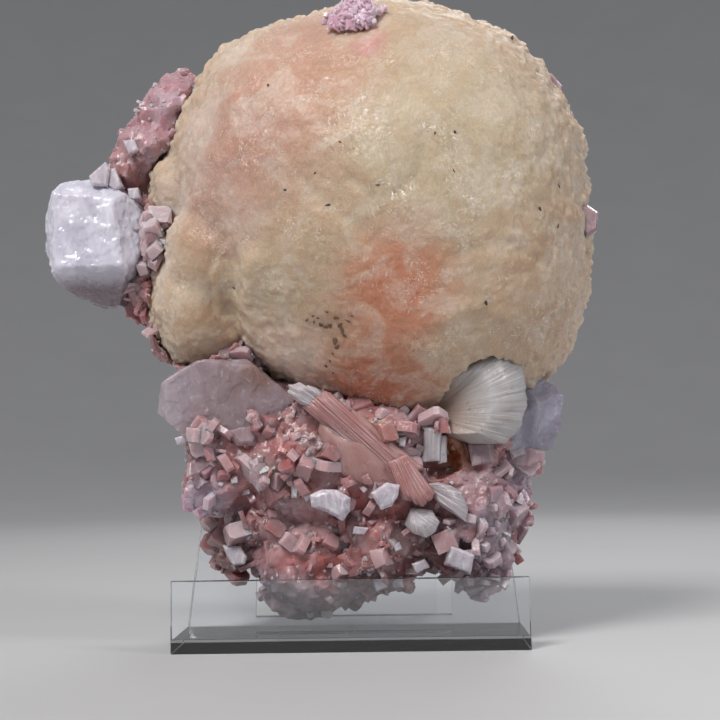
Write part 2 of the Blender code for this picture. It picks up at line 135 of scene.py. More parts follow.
# %% A small language for materials
class Field:
    """The value of one socket, with Python's signs for sums on it."""

    def __init__(self, graph, socket):
        self.graph = graph
        self.socket = socket

    def sum(self, operation, *values):
        return self.graph.node("Math", {"operation": operation}, dict(enumerate(values)))[0]

    def __add__(self, other):
        return self.sum("ADD", self, other)

    def __sub__(self, other):
        return self.sum("SUBTRACT", self, other)

    def __rsub__(self, other):
        return self.sum("SUBTRACT", other, self)

    def __mul__(self, other):
        return self.sum("MULTIPLY", self, other)

    __radd__ = __add__
    __rmul__ = __mul__


class Made:
    """A node, whose outputs are read by name or number."""

    def __init__(self, graph, node):
        self.graph = graph
        self.node = node

    def __getitem__(self, output):
        return Field(self.graph, self.node.outputs[output])


class Graph:
    """What a material and a Geometry Nodes tree share."""

    def node(self, kind, settings, sockets):
        """Makes a node: its settings first, then the value or link of each socket."""
        made = self.tree.nodes.new(kind if "Node" in kind else "ShaderNode" + kind)
        for name, value in settings.items():
            setattr(made, name, value)
        for name, value in sockets.items():
            if isinstance(value, Field):
                self.tree.links.new(value.socket, made.inputs[name])
            else:
                made.inputs[name].default_value = value
        return Made(self, made)


class Finish(Graph):
    """One material with a Principled shader."""

    def __init__(self, name, **constants):
        self.material = bpy.data.materials.new(name)
        self.material.use_nodes = True
        self.tree = self.material.node_tree
        self.shader = self.tree.nodes["Principled BSDF"]
        for socket, value in constants.items():
            self.shader.inputs[socket.replace("_", " ")].default_value = value
        self.place = self.vector("SCALE", self.node("TexCoord", {}, {})["Object"],
                                 Scale=1 / MM)

    def vector(self, operation, *values, **named):
        sockets = {**dict(enumerate(values)), **named}
        made = self.node("VectorMath", {"operation": operation}, sockets)
        return made["Value" if operation in ("DISTANCE", "DOT_PRODUCT", "LENGTH") else "Vector"]

    def blend(self, share, first, second, way="MIX"):
        """Mixes two colours."""
        settings = {"data_type": "RGBA", "blend_type": way}
        return self.node("Mix", settings, {0: share, 6: first, 7: second})[2]

    def tinted(self, colour, tint, value, low, high, share=1.0):
        """Lays a tint over a colour, up to this share, as a value goes from low to high."""
        return self.blend(self.eased(value, low, high) * share, colour, (*tint, 1))

    def eased(self, value, low, high):
        """0 below low, 1 above high and a smooth step between. High may be the lesser."""
        return self.node("MapRange", {"interpolation_type": "SMOOTHSTEP"},
                         {"Value": value, "From Min": low, "From Max": high})["Result"]

    def noise(self, scale, detail=2.0, vector=None, **sockets):
        """Noise with this many waves to the millimetre."""
        return self.node("TexNoise", {}, {"Vector": vector or self.place, "Scale": scale,
                                          "Detail": detail, **sockets})

    def cells(self, scale, vector=None, **settings):
        return self.node("TexVoronoi", settings, {"Vector": vector or self.place, "Scale": scale})

    def attribute(self, name):
        return self.node("Attribute", {"attribute_name": name}, {})

    def bump(self, height, distance, strength=1.0, normal=None):
        """Bump from a height of 0 to 1 that stands for this distance in millimetres."""
        sockets = {"Height": height, "Distance": distance * MM, "Strength": strength}
        if normal:
            sockets["Normal"] = normal
        return self.node("Bump", {}, sockets)["Normal"]

    def wire(self, **links):
        """Feeds the shader's own sockets."""
        for socket, value in links.items():
            self.tree.links.new(value.socket, self.shader.inputs[socket.replace("_", " ")])
        return self.material


print("material helpers ready")

# %% [markdown]
# The floor is a plain pale sheet that sweeps up far away on every side, so that no horizon
# cuts through the picture. The light is soft: one large lamp from the upper left, a weaker
# one from the right, one from behind that shows how the crystals let light through, and an
# even grey room.

# %% Floor and light
FLOOR_SPREAD = 1.7  # metres, as are the next two
FLAT_TO = 0.55
LAMPS_AIM_AT = Vector((0.0, 0.0, 0.065))
FLOOR_CURVE = 0.55


def lamp(name, place, size, watts, colour=(1.0, 1.0, 1.0)):
    """A square area lamp that looks at the middle of the specimen."""
    light = bpy.data.lights.new(name, "AREA")
    light.size = size
    light.energy = watts
    light.color = colour
    made = bpy.data.objects.new(name, light)
    made.location = place
    way = LAMPS_AIM_AT - Vector(place)
    made.rotation_euler = way.to_track_quat("-Z", "Y").to_euler()
    bpy.context.scene.collection.objects.link(made)
    return made


lamp("key_lamp", (-0.24, -0.46, 0.58), 0.24, 4.7, (1.0, 0.98, 0.95))
lamp("side_lamp", (0.50, -0.30, 0.34), 0.16, 1.1, (0.95, 0.97, 1.0))
lamp("back_lamp", (0.12, 0.42, 0.40), 0.24, 0.8)

bpy.ops.mesh.primitive_grid_add(x_subdivisions=96, y_subdivisions=96, size=FLOOR_SPREAD * 2)
floor = bpy.context.object
floor.name = "floor"
for vert in floor.data.vertices:
    far = max(0.0, vert.co.xy.length - FLAT_TO)
    vert.co.z = FLOOR_CURVE * far ** 2
floor.data.shade_smooth()
floor_finish = Finish("pale_floor", Roughness=0.6)
mottle = floor_finish.noise(0.02)["Fac"]
floor.data.materials.append(floor_finish.wire(
    Base_Color=floor_finish.blend(mottle, (0.50, 0.50, 0.51, 1), (0.54, 0.54, 0.55, 1))))

world = bpy.data.worlds.new("even_room")
world.use_nodes = True
world.node_tree.nodes["Background"].inputs["Color"].default_value = (0.60, 0.61, 0.63, 1)
world.node_tree.nodes["Background"].inputs["Strength"].default_value = 0.42
bpy.context.scene.world = world
bpy.context.scene.view_settings.view_transform = "Standard"
print("floor, three lamps and an even room")

# %% [markdown]
# A dressed piece of some size starts from a copy of its solid, so that it stays where the
# frame has it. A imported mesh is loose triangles, so the copy's doubles are merged first.
# Small crystals and fans are built point by point instead, and share two helpers. Modifiers
# are applied by taking the evaluated mesh, so that plain mesh is left.

# %% Copying and finishing a piece
def copy_of(node):
    """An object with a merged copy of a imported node's mesh."""
    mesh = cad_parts[node].data.copy()
    mesh.materials.clear()
    bm = bmesh.new()
    bm.from_mesh(mesh)
    bmesh.ops.remove_doubles(bm, verts=bm.verts, dist=0.002 * MM)
    bmesh.ops.dissolve_limit(bm, angle_limit=math.radians(0.5), verts=bm.verts, edges=bm.edges)
    bm.to_mesh(mesh)
    bm.free()
    made = bpy.data.objects.new(node + "_copy", mesh)
    bpy.context.scene.collection.objects.link(made)
    return made


def object_of(bm, name, collection=None):
    """Turns a finished bmesh into an object."""
    mesh = bpy.data.meshes.new(name)
    bm.to_mesh(mesh)
    bm.free()
    made = bpy.data.objects.new(name, mesh)
    (collection or bpy.context.scene.collection).objects.link(made)
    return made


def bridge(bm, rings, closed=True):
    """Faces between rows of points, one after another; a closed row meets its own start."""
    for low, high in zip(rings, rings[1:]):
        for n in range(len(low) if closed else len(low) - 1):
            m = (n + 1) % len(low)
            bm.faces.new((low[n], low[m], high[m], high[n]))


def applied(made):
    """Replaces an object's mesh by what its modifiers make of it."""
    graph = bpy.context.evaluated_depsgraph_get()
    mesh = bpy.data.meshes.new_from_object(made.evaluated_get(graph))
    made.modifiers.clear()
    made.data = mesh
    return made


def add_modifier(made, kind, **settings):
    modifier = made.modifiers.new(kind.lower(), kind)
    for name, value in settings.items():
        setattr(modifier, name, value)
    return modifier


def dress(made, name, material, slot, *nodes):
    """Names a finished piece, gives it its material and ties it to the model."""
    made.name = name
    made.data.materials.clear()
    made.data.materials.append(material)
    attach(made, "root")
    if nodes:
        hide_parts(*nodes)
    made.data.calc_loop_triangles()
    print(f"{name}: {len(made.data.loop_triangles)} triangles")
    return made


def points_of(mesh):
    """A mesh's points and their normals, in millimetres."""
    points = np.empty(len(mesh.vertices) * 3, np.float32)
    normals = np.empty(len(mesh.vertices) * 3, np.float32)
    mesh.vertices.foreach_get("co", points)
    mesh.vertices.foreach_get("normal", normals)
    return points.reshape(-1, 3).astype(float) / MM, normals.reshape(-1, 3).astype(float)


def move_points(mesh, points):
    mesh.vertices.foreach_set("co", (points * MM).astype(np.float32).ravel())
    mesh.update()


def store(mesh, name, values):
    """Keeps one number for each point, for the material to read."""
    layer = mesh.attributes.new(name, "FLOAT", "POINT")
    layer.data.foreach_set("value", np.asarray(values, np.float32))


def wave(points, scale, seed=0.0, octaves=3):
    """Smooth noise of about -1 to 1 at each point, with waves of this many millimetres."""
    shift = Vector((seed, seed * 1.7, -seed))
    return np.array([
        noise.fractal(Vector(point) / scale + shift, 1.0, 2.0, octaves) for point in points
    ])


print("mesh helpers ready")

# %% [markdown]
# Stilbite grows as bundles of parallel blades, and a druse of heulandite as blocks set at
# all angles. Both come from one rule. The surface is shared out among seed points. Each
# share is tilted its own way, which leaves a small step where two meet, and it may carry
# parallel ridges, the edges of its blades.

# %% Relief of bundles and blocks
def shares(points, normals, spacing, seed):
    """Shares points out among seeds: the nearest seed, both distances and its directions."""
    chance = np.random.default_rng(seed)
    grid = np.floor(points / spacing).astype(int)
    _, first = np.unique(grid, axis=0, return_index=True)
    seeds = points[first] + chance.normal(0, spacing * 0.25, (len(first), 3))
    tree = kdtree.KDTree(len(seeds))
    for n, place in enumerate(seeds):
        tree.insert(place, n)
    tree.balance()
    found = [tree.find_n(point, 2) for point in points]
    nearest = np.array([near[0][1] for near in found])
    inner = np.array([near[0][2] for near in found])
    outer = np.array([near[1][2] for near in found])
    along = chance.normal(0, 1, (len(seeds), 3))[nearest]
    along -= normals * (along * normals).sum(1, keepdims=True)
    along /= np.linalg.norm(along, axis=1, keepdims=True) + 1e-9
    lot = chance.uniform(0, 1, len(seeds))[nearest]
    return points - seeds[nearest], inner, outer, along, np.cross(normals, along), lot


def bundle_relief(points, normals, spacing, seed, tilt=0.0, ridge=0.0, pitch=1.0, swell=0.0):
    """Height in millimetres of tilted, ridged and swollen shares at each point."""
    offset, inner, outer, along, across, lot = shares(points, normals, spacing, seed)
    run = (offset * along).sum(1)
    side = (offset * across).sum(1)
    height = tilt * run * (0.4 + lot)
    saw = np.abs(((side / pitch + lot * 7) % 1.0) - 0.5) * 2
    height += ridge * saw * (0.3 + lot)
    height += swell * np.sqrt(np.clip(1 - (inner / spacing) ** 2, 0, 1))
    edge = np.clip((outer - inner) / (0.25 * spacing), 0, 1)
    return height * (0.35 + 0.65 * edge)


print("relief helpers ready")

# %% [markdown]
# The ball is the heart of the specimen. Its solid is a faceted dome, so it is first rounded
# by subdivision, then remeshed to even squares of under half a millimetre. Sculpting would
# give its relief by hand; here numpy moves the points along their normals, since the relief
# follows rules. Towards the rim, where the ends of the blade bundles show, knobs of three
# sizes grow in strength. Low bundles with fine ridges cover the whole, and a few creases
# and swellings that the picture shows are drawn in as lines.

# %% The stilbite ball's shape
BALL_VOXEL = 0.46  # mm, as are the next two
BALL_SINK = 0.25
KNOB_SINK = 0.7
# Ridges and creases that the picture shows: its points, height in mm and half width in pixels.
BALL_LINES = (
    (((237, 95), (234, 135), (225, 160)), 0.45, 9),
    (((292, 128), (341, 119), (375, 113)), -0.22, 6),
    (((424, 130), (420, 170), (396, 192)), -0.35, 7),
    (((350, 140), (352, 175), (372, 194)), -0.25, 6),
    (((300, 175), (330, 205), (372, 236)), -0.25, 7),
    (((455, 255), (500, 240), (548, 262)), -0.30, 8),
    (((440, 320), (470, 305), (520, 318)), 0.30, 9),
    (((252, 262), (247, 300), (254, 335), (272, 356)), 1.1, 12),
    (((222, 262), (222, 285), (228, 312)), -0.8, 13),
)
# A step down to the left lobes: its line, where it fades in and out down the picture, its
# height in mm, and the pixels over which it drops and fades sideways.
BALL_STEP = ((225, 245), (211, 275), (219, 309), (234, 340), (265, 367), (286, 383))
STEP_ROWS = (225, 255, 365, 395)
STEP_HEIGHT = 0.6
STEP_EDGE = 5
STEP_FADE = 45

ball = copy_of("stilbite_ball")
add_modifier(ball, "SUBSURF", levels=2, render_levels=2)
add_modifier(ball, "REMESH", mode="VOXEL", voxel_size=BALL_VOXEL * MM)
add_modifier(ball, "SMOOTH", iterations=6, factor=0.5)
applied(ball)
places, outward = points_of(ball.data)
side_view = np.clip(1 - np.abs(outward[:, 1]), 0, 1)
knobs = side_view ** 1.6
lift = bundle_relief(places, outward, 5.2, 3, tilt=0.05, swell=0.30) * (0.3 + knobs)
lift += bundle_relief(places, outward, 3.4, 5, tilt=0.34, swell=0.6) * knobs
lift += (1.1 * wave(places, 3.4, 7.0) + 0.5 * wave(places, 1.5, 11.0)) * knobs
lift += bundle_relief(places, outward, 1.5, 6, tilt=0.34, swell=0.25) * knobs
lift += bundle_relief(places, outward, 1.7, 4, tilt=0.10, ridge=0.07, pitch=0.6, swell=0.10)
lift += 0.20 * wave(places, 8.0, 2.0)
lift -= KNOB_SINK * knobs
pixels = in_picture(places)
facing = outward[:, 1] < -0.05
for line, height, reach in BALL_LINES:
    away = line_distance(pixels, line)
    lift += height * np.exp(-(away / reach) ** 2) * facing
away = line_distance(pixels, BALL_STEP)
within = np.interp(pixels[:, 1], STEP_ROWS, (0, 1, 1, 0))
step = STEP_HEIGHT * np.clip(away / STEP_EDGE, 0, 1) * np.exp(-np.abs(away) / STEP_FADE)
lift -= step * within * facing
move_points(ball.data, places + outward * (lift - BALL_SINK)[:, None])
ball.data.shade_smooth()
# The rim's share is kept for the finish, which paints the rim paler: partly the pale ends of the
# blades, partly a painted sheen.
store(ball.data, "rim", knobs)
ball_tree = BVHTree.FromObject(ball, bpy.context.evaluated_depsgraph_get())
print(f"relief from {lift.min():.2f} to {lift.max():.2f} mm")

# %% [markdown]
# Colour goes on in soft patches, as a painter would lay them: each has a place on the
# surface, a reach in millimetres and a tint. The place is given by a picture point and
# found by a line of sight. The edges of the patches wander with a little noise. A painted
# image would need a picture file, and this way the tints stay few and can be changed.

# %% Patches of colour
SIGHT_LENGTH = 0.262  # metres from the camera to the middle of the specimen


def seen(x, y, tree):
    """The point in mm and the outward direction of a surface at a picture point."""
    way = picture_ray(x, y)
    place, outward, _, _ = tree.ray_cast(CAMERA_PLACE, way)
    if place is None:
        place, outward, _, _ = tree.find_nearest(CAMERA_PLACE + way * SIGHT_LENGTH)
    return place / MM, outward


def painted(finish, base, patches, tree, wander=2.5):
    """Lays patches over a base colour: picture point, reach in mm, tint and strength."""
    drift = finish.noise(0.16, 3.0)["Color"]
    spot = finish.vector("MULTIPLY_ADD", drift, (wander * 2,) * 3,
                         finish.vector("SUBTRACT", finish.place, (wander,) * 3))
    colour = base
    for x, y, reach, tint, strength in patches:
        place, _ = seen(x, y, tree)
        away = finish.vector("DISTANCE", spot, tuple(place))
        colour = finish.tinted(colour, tint, away, reach, reach * 0.15, strength)
    return colour


CREAM = (0.56, 0.42, 0.295)
PEACH = (0.55, 0.31, 0.215)
PINK_PEACH = (0.55, 0.315, 0.255)
LEMON = (0.57, 0.47, 0.325)
SALMON = (0.58, 0.21, 0.115)
RUST = (0.44, 0.11, 0.04)
TAN = (0.46, 0.275, 0.165)
FROST = (0.70, 0.61, 0.52)
RIM_FROST_AND_SHEEN = (0.72, 0.60, 0.53)
PAINTED_GLINT_WHITE = (0.95, 0.90, 0.84)
# Picture point, reach in mm, tint and strength.
BALL_PATCHES = (
    (250, 110, 24, PINK_PEACH, 0.85), (215, 190, 16, PINK_PEACH, 0.7), (320, 70, 16, PEACH, 0.75),
    (300, 30, 14, PINK_PEACH, 0.7), (470, 140, 26, LEMON, 0.8), (540, 250, 18, TAN, 0.25),
    (385, 160, 8, LEMON, 0.8), (255, 290, 12, LEMON, 0.35),
    # The first patch on the next line is painted light: a pale spot that brightens the shaded
    # bottom of the left lobe.
    (298, 365, 13, (0.86, 0.64, 0.52), 1.0), (215, 330, 9, TAN, 0.4),
    (368, 42, 5, (0.60, 0.30, 0.29), 0.8), (400, 282, 14, SALMON, 0.85),
    (378, 330, 14, SALMON, 0.55),
    (370, 388, 14, RUST, 0.95), (345, 400, 8, RUST, 0.7), (420, 390, 8, RUST, 0.55),
    (455, 420, 6, TAN, 0.6), (545, 330, 12, TAN, 0.5), (230, 55, 6, FROST, 0.6),
    # The pale patches at 195, 175 and 165 across, down the left rim, are partly the rim's own paler
    # colour and partly painted light, the glow of its thin translucent edge.
    (195, 130, 9, (0.72, 0.60, 0.53), 0.6), (175, 200, 9, (0.72, 0.58, 0.51), 0.65),
    (165, 270, 8, (0.70, 0.58, 0.50), 0.5), (235, 215, 9, (0.70, 0.50, 0.41), 0.5),
)
print(len(BALL_PATCHES), "patches for the ball")

# %% [markdown]
# The blades are too fine to model one by one. In the material, space is shared out in
# cells, each cell turns the pattern its own way, and a stretched noise in it makes the fine
# parallel streaks. Small flat glints come from tilting the surface's direction in tiny
# cells, which catch the lamps here and there. Both helpers serve the other minerals too.

# %% Streaks and glints
def turned_streaks(finish, cell, streak, stretch=0.16):
    """Fine streaks that run another way in each cell."""
    cells = finish.cells(cell, voronoi_dimensions="3D")["Color"]
    turn = finish.vector("SCALE", cells, Scale=6.28)
    spun = finish.node("VectorRotate", {"rotation_type": "EULER_XYZ"},
                       {"Vector": finish.place, "Rotation": turn})["Vector"]
    drawn = finish.vector("MULTIPLY", spun, (1.0, stretch, 1.0))
    return finish.noise(streak, 2.0, drawn)["Fac"]


def glinting(finish, scale, strength):
    """The surface's direction, tilted by chance in tiny cells."""
    tiny = finish.cells(scale)["Color"]
    chance = finish.vector("SUBTRACT", tiny, (0.5, 0.5, 0.5))
    tilt = finish.vector("SCALE", chance, Scale=strength)
    facing = finish.node("NewGeometry", {}, {})["Normal"]
    return finish.vector("NORMALIZE", finish.vector("ADD", facing, tilt))


print("streaks and glints ready")

# %% [markdown]
# The ball's finish lets light in under its surface, which gives the soft glow of the real
# blades. Over the patches lie clouds of frost and tan, a paler rim that is partly the pale
# ends of the blades and partly a painted sheen, the lines of the blades, and clusters of
# painted glints, bright slivers painted into the colour, where the picture shows them.

# %% The stilbite finish
# Clusters of painted glints, bright slivers painted into the colour, and of tilted facets: picture
# point and reach in mm.
SPARKLES = (
    (394, 196, 6), (298, 227, 4), (312, 239, 4), (240, 236, 4), (381, 279, 3), (535, 330, 7),
    (579, 245, 5), (567, 305, 6), (331, 122, 2), (440, 130, 5), (250, 150, 6), (470, 205, 4),
    (226, 262, 5), (500, 340, 4), (260, 345, 4), (530, 120, 5),
)
stilbite = Finish("stilbite_blades", IOR=1.50, Subsurface_Weight=0.9,
                  Subsurface_Radius=(1.0, 0.62, 0.40), Subsurface_Scale=3.6 * MM)
streaks = turned_streaks(stilbite, 0.26, 2.0)
fine_streaks = turned_streaks(stilbite, 0.6, 4.4, 0.12)
toned = painted(stilbite, (*CREAM, 1), BALL_PATCHES, ball_tree)
clouds = stilbite.noise(0.14, 3.0, Distortion=1.0)["Fac"]
toned = stilbite.tinted(toned, FROST, clouds, 0.46, 0.62, streaks * 0.35 + 0.18)
toned = stilbite.tinted(toned, TAN, clouds, 0.47, 0.30, 0.25)
# The paler rim is partly the pale ends of the blades and partly a painted sheen, where the surface
# turns away from the front.
rim = stilbite.attribute("rim")["Fac"]
toned = stilbite.blend(rim * (streaks * 0.6 + 0.2), toned, (*RIM_FROST_AND_SHEEN, 1))
# The lines of the blades make it a little lighter and darker.
lines = stilbite.eased(fine_streaks, 0.50, 0.66)
broad_lines = stilbite.eased(streaks, 0.42, 0.66)
tone = lines * 0.07 + broad_lines * 0.06 + 0.90
grey = stilbite.node("CombineColor", {}, {0: tone, 1: tone, 2: tone})[0]
toned = stilbite.blend(1.0, toned, grey, "MULTIPLY")
# The painted glints and the tilted facets lie thickly in the clusters and thinly in a few loose
# drifts.
where = stilbite.eased(stilbite.noise(0.16, 2.0)["Fac"], 0.50, 0.66) * 0.5
broken = stilbite.eased(stilbite.noise(0.45, 2.0)["Fac"], 0.42, 0.62)
for x, y, reach in SPARKLES:
    place, _ = seen(x, y, ball_tree)
    away = stilbite.vector("DISTANCE", stilbite.place, tuple(place))
    where = where + stilbite.eased(away, reach, 0.3 * reach) * broken * (1 - where)
# Painted glints: bright slivers painted into the colour, with a lower roughness, stand in for
# glinting light.
painted_glints = stilbite.eased(turned_streaks(stilbite, 0.5, 3.6, 0.16), 0.58, 0.66) * where
toned = stilbite.blend(painted_glints * 0.8, toned, (*PAINTED_GLINT_WHITE, 1))
# Bump: the glints, the blades' lines and a sugary grain, one on the other.
sugar = stilbite.noise(1.5, 3.0)["Fac"]
relief = glinting(stilbite, 2.2, where * 0.5 + 0.14)
relief = stilbite.bump(lines, 0.05, 0.8, relief)
relief = stilbite.bump(sugar, 0.12, 0.8, relief)
dress(ball, "stilbite_ball_blades", stilbite.wire(
    Base_Color=toned,
    Roughness=0.46 - painted_glints * 0.28 - where * 0.10,
    Normal=relief,
), "stilbite_cream", "stilbite_ball")

# %% [markdown]
# Dark specks of another mineral lie on the ball, and a brown growth branches over its lower
# middle like a small twig. Dots of colour would do from afar, but these are real flakes, a
# few tenths of a millimetre thick, so that they also show from the side. Each is a low disc
# with an uneven rim, turned to the surface on which its picture point lies.

# %% Dark specks on the ball
# Picture point and reach in mm, which FLAKE_SCALE enlarges.
SPECKS = (
    (328, 205, 0.38), (540, 209, 0.36), (558, 226, 0.34), (486, 303, 0.36), (512, 38, 0.35),
    (454, 171, 0.26), (378, 185, 0.26), (559, 186, 0.28), (435, 133, 0.2), (455, 132, 0.22),
    (268, 85, 0.24), (285, 190, 0.22), (315, 173, 0.2), (340, 142, 0.2), (234, 288, 0.24),
    (226, 355, 0.24),
)
TWIG = (
    (307, 320, 0.3), (313, 316, 0.25), (314, 322, 0.3), (321, 325, 0.35), (326, 327, 0.3),
    (330, 326, 0.35), (327, 312, 0.25), (336, 318, 0.4), (340, 325, 0.45), (342, 330, 0.65),
    (348, 321, 0.4), (352, 316, 0.25), (335, 341, 0.5), (337, 347, 0.4), (333, 354, 0.25),
    (330, 361, 0.22), (326, 366, 0.25), (333, 373, 0.22), (345, 336, 0.3), (318, 318, 0.2),
)
FLAKE_SCALE = 1.35
FLAKE_SIDES = 9
# Height in mm and share of the reach, from the hidden underside to the top.
FLAKE_RINGS = ((-0.08, 0.9), (0.05, 1.0), (0.12, 0.55))


def add_flake(bm, place, way, size, chance):
    """One low disc with an uneven rim; place and size in millimetres."""
    turn = way.to_track_quat("Z", "Y").to_matrix()
    turn = turn @ Matrix.Rotation(chance.uniform(0, 6.28), 3, "Z")
    stretch = chance.uniform(0.3, 0.8)
    rings = []
    for height, share in FLAKE_RINGS:
        ring = []
        for n in range(FLAKE_SIDES):
            angle = n / FLAKE_SIDES * 2 * math.pi
            uneven = 1 + 0.3 * math.sin(3 * angle + place.x) * chance.uniform(0.4, 1)
            reach = size * share * uneven
            spot = Vector((reach * math.cos(angle), reach * stretch * math.sin(angle), height))
            ring.append(bm.verts.new((place + turn @ spot) * MM))
        rings.append(ring)
    bridge(bm, rings)
    bm.faces.new(rings[-1])
    bm.faces.new(rings[0][::-1])


def add_flakes(name, spots, tree, finish, slot, seed):
    """One piece of flakes, one at each spot on the surface."""
    chance = random.Random(seed)
    bm = bmesh.new()
    for x, y, size in spots:
        place, way = seen(x, y, tree)
        add_flake(bm, place, way, size * FLAKE_SCALE, chance)
    bmesh.ops.recalc_face_normals(bm, faces=bm.faces)
    return dress(object_of(bm, name), name, finish, slot)


def mottled(name, deep, light, scale, rough, rise):
    """A grainy finish between two tints: waves to the mm, roughness and how far it rises."""
    finish = Finish(name, IOR=1.5)
    grain = finish.noise(scale, 3.0)["Fac"]
    return finish.wire(Base_Color=finish.blend(grain, (*deep, 1), (*light, 1)),
                       Roughness=grain * rise + rough, Normal=finish.bump(grain, 0.08, 0.8))


dark = mottled("dark_specks", (0.012, 0.008, 0.006), (0.10, 0.055, 0.03), 2.5, 0.3, 0.4)
brown = mottled("brown_growth", (0.06, 0.03, 0.015), (0.24, 0.13, 0.06), 2.2, 0.4, 0.3)
add_flakes("dark_specks", SPECKS, ball_tree, dark, "stilbite_cream", 31)
add_flakes("brown_growth", TWIG, ball_tree, brown, "stilbite_cream", 32)

# %% [markdown]
# The crust is a druse: blocks and tablets of heulandite grown into one another, pink with
# rust-red stains and lilac-white where it is clear. Its solid is remeshed and given a blocky
# relief of its own. How high each point lies is kept with the mesh for a painted shade: a
# deeper rose in the hollows and milkier on the heights. Three more numbers tell the next
# step where small crystals grow, where large blocks do, and how big they get.

# %% The crust's skin
CRUST_VOXEL = 0.62  # mm, as is the next
CRUST_SINK = 0.35

crust = copy_of("heulandite_crust")
add_modifier(crust, "REMESH", mode="VOXEL", voxel_size=CRUST_VOXEL * MM)
add_modifier(crust, "SMOOTH", iterations=3, factor=0.5)
applied(crust)
places, outward = points_of(crust.data)
swelling = wave(places, 5.5, 5.0)
lift = bundle_relief(places, outward, 4.4, 8, tilt=0.20, swell=0.3)
lift += bundle_relief(places, outward, 1.7, 9, tilt=0.30, swell=0.12)
lift += 0.7 * swelling
move_points(crust.data, places + outward * (lift - CRUST_SINK)[:, None])
crust.data.shade_smooth()
crust.data.set_sharp_from_angle(angle=math.radians(24))
# The height is kept for the finish, which paints shade by it: a deeper rose in the hollows, milkier
# on the heights.
store(crust.data, "height", np.clip(0.5 + 0.9 * swelling + 0.25 * (lift - lift.mean()), 0, 1))

# Where small crystals cluster: picture point, reach in pixels and how densely they grow.
CLUSTERS = (
    (345, 532, 26, 1.0), (375, 560, 34, 0.9), (300, 490, 22, 0.7), (240, 470, 24, 0.5),
    (245, 545, 26, 0.5), (403, 452, 16, 0.8), (270, 520, 20, 0.6), (350, 470, 22, 0.5),
    (430, 530, 22, 0.6), (500, 505, 24, 0.5), (510, 470, 18, 0.5), (182, 442, 14, 0.8),
    (160, 345, 20, 0.8), (590, 215, 22, 0.8), (150, 200, 30, 0.7), (420, 575, 20, 0.6),
)
# Large blocks keep off the smooth lobe at the foot and the dark hollow by the fans.
FOOT_LOBE = (300, 600, 46)
HOLLOW = (455, 449, 18)
# The upper left cluster lies left of this X and above this Z, in mm.
CLUSTER_X, CLUSTER_Z = -24, 76
# Small crystals thin out towards the back: none grow densely behind this Y, in mm, and they
# are at their densest this much nearer.
BACK_FROM, THINNING = 8, 10


def spread(pixels, x, y, reach):
    """1 at a picture point, falling off round it."""
    return np.exp(-((pixels[:, 0] - x) ** 2 + (pixels[:, 1] - y) ** 2) / reach ** 2)


pixels = in_picture(places)
growth = np.zeros(len(places))
for x, y, reach, share in CLUSTERS:
    growth = np.maximum(growth, spread(pixels, x, y, reach) * share)
front = np.clip((BACK_FROM - places[:, 1]) / THINNING, 0, 1) * (outward[:, 1] < 0.6)
upper_left = (places[:, 0] < CLUSTER_X) & (places[:, 2] > CLUSTER_Z)
patchy = np.clip(0.3 + 1.6 * wave(places, 4.0, 9.0), 0.05, 1)
growth = np.maximum(growth * front, upper_left * 0.5) * patchy
lobe = spread(pixels, *FOOT_LOBE)
blocks = np.clip(0.45 + 1.7 * wave(places, 7.0, 3.0), 0.05, 1)
blocks *= (1 - lobe) * (1 - spread(pixels, *HOLLOW)) * (1 - 0.75 * upper_left)
store(crust.data, "growth", np.maximum(growth, 0.05 + 0.07 * front) * (1 - 0.8 * lobe))
store(crust.data, "blocks", blocks)
store(crust.data, "grain", np.where(upper_left, 0.7, 1.0))
crust_tree = BVHTree.FromObject(crust, bpy.context.evaluated_depsgraph_get())
print(len(places), "points on the crust")

# %% [markdown]
# The druse's crystals are of three kinds: coffin-shaped tablets, thick blocks and thin
# blades. Each is a cube about the origin, scaled and cut down by a few planes, since
# crystals are bounded by flat faces. About a dozen faces are enough for a shape that is
# repeated some thousands of times.

# %% Three crystal shapes
def crystal_shape(name, half, cuts, collection):
    """A small block about the origin, its corners taken off by planes."""
    bm = bmesh.new()
    bmesh.ops.create_cube(bm, size=2.0)
    bmesh.ops.scale(bm, vec=half, verts=bm.verts)
    for *normal, distance in cuts:
        normal = Vector(normal).normalized()
        whole = bm.verts[:] + bm.edges[:] + bm.faces[:]
        cut = bmesh.ops.bisect_plane(bm, geom=whole, plane_co=normal * distance,
                                     plane_no=normal, clear_outer=True)
        rim = [part for part in cut["geom_cut"] if isinstance(part, bmesh.types.BMEdge)]
        if rim:
            bmesh.ops.contextual_create(bm, geom=rim)
    bmesh.ops.recalc_face_normals(bm, faces=bm.faces)
    return object_of(bm, name, collection)


# Each cut: the direction of the plane and its distance from the origin.
COFFIN_CUTS = ((1, 0, 0.9, 1.05), (-1, 0, 0.8, 1.0), (1, 0, -0.7, 1.0), (-1, 0, -0.9, 1.1))
BLOCK_CUTS = ((1, 0.3, 0.8, 1.05), (-1, 0.5, 0.6, 1.0), (0.2, -1, 0.7, 0.95), (0.4, 0.9, 0.9, 1.1))
BLADE_CUTS = ((1, 0, 0.8, 1.15), (-1, 0, 0.5, 1.1))
shapes = bpy.data.collections.new("crystal_shapes")
crystal_shape("coffin", (0.75, 0.34, 1.0), COFFIN_CUTS, shapes)
crystal_shape("block", (0.8, 0.62, 0.85), BLOCK_CUTS, shapes)
crystal_shape("blade", (0.42, 0.2, 1.25), BLADE_CUTS, shapes)

# %% [markdown]
# Geometry Nodes plant the crystals. Points are thrown on the skin no nearer than a set
# spacing, and fewer where the named attribute is low. Each gets one of the three shapes, a
# chance size and a chance tilt, and keeps a number of its own, by which the material makes
# it paler and duller. The tree ends in Realize Instances, so that plain mesh is left. Three sizes
# of crystal then need only three sets of values.

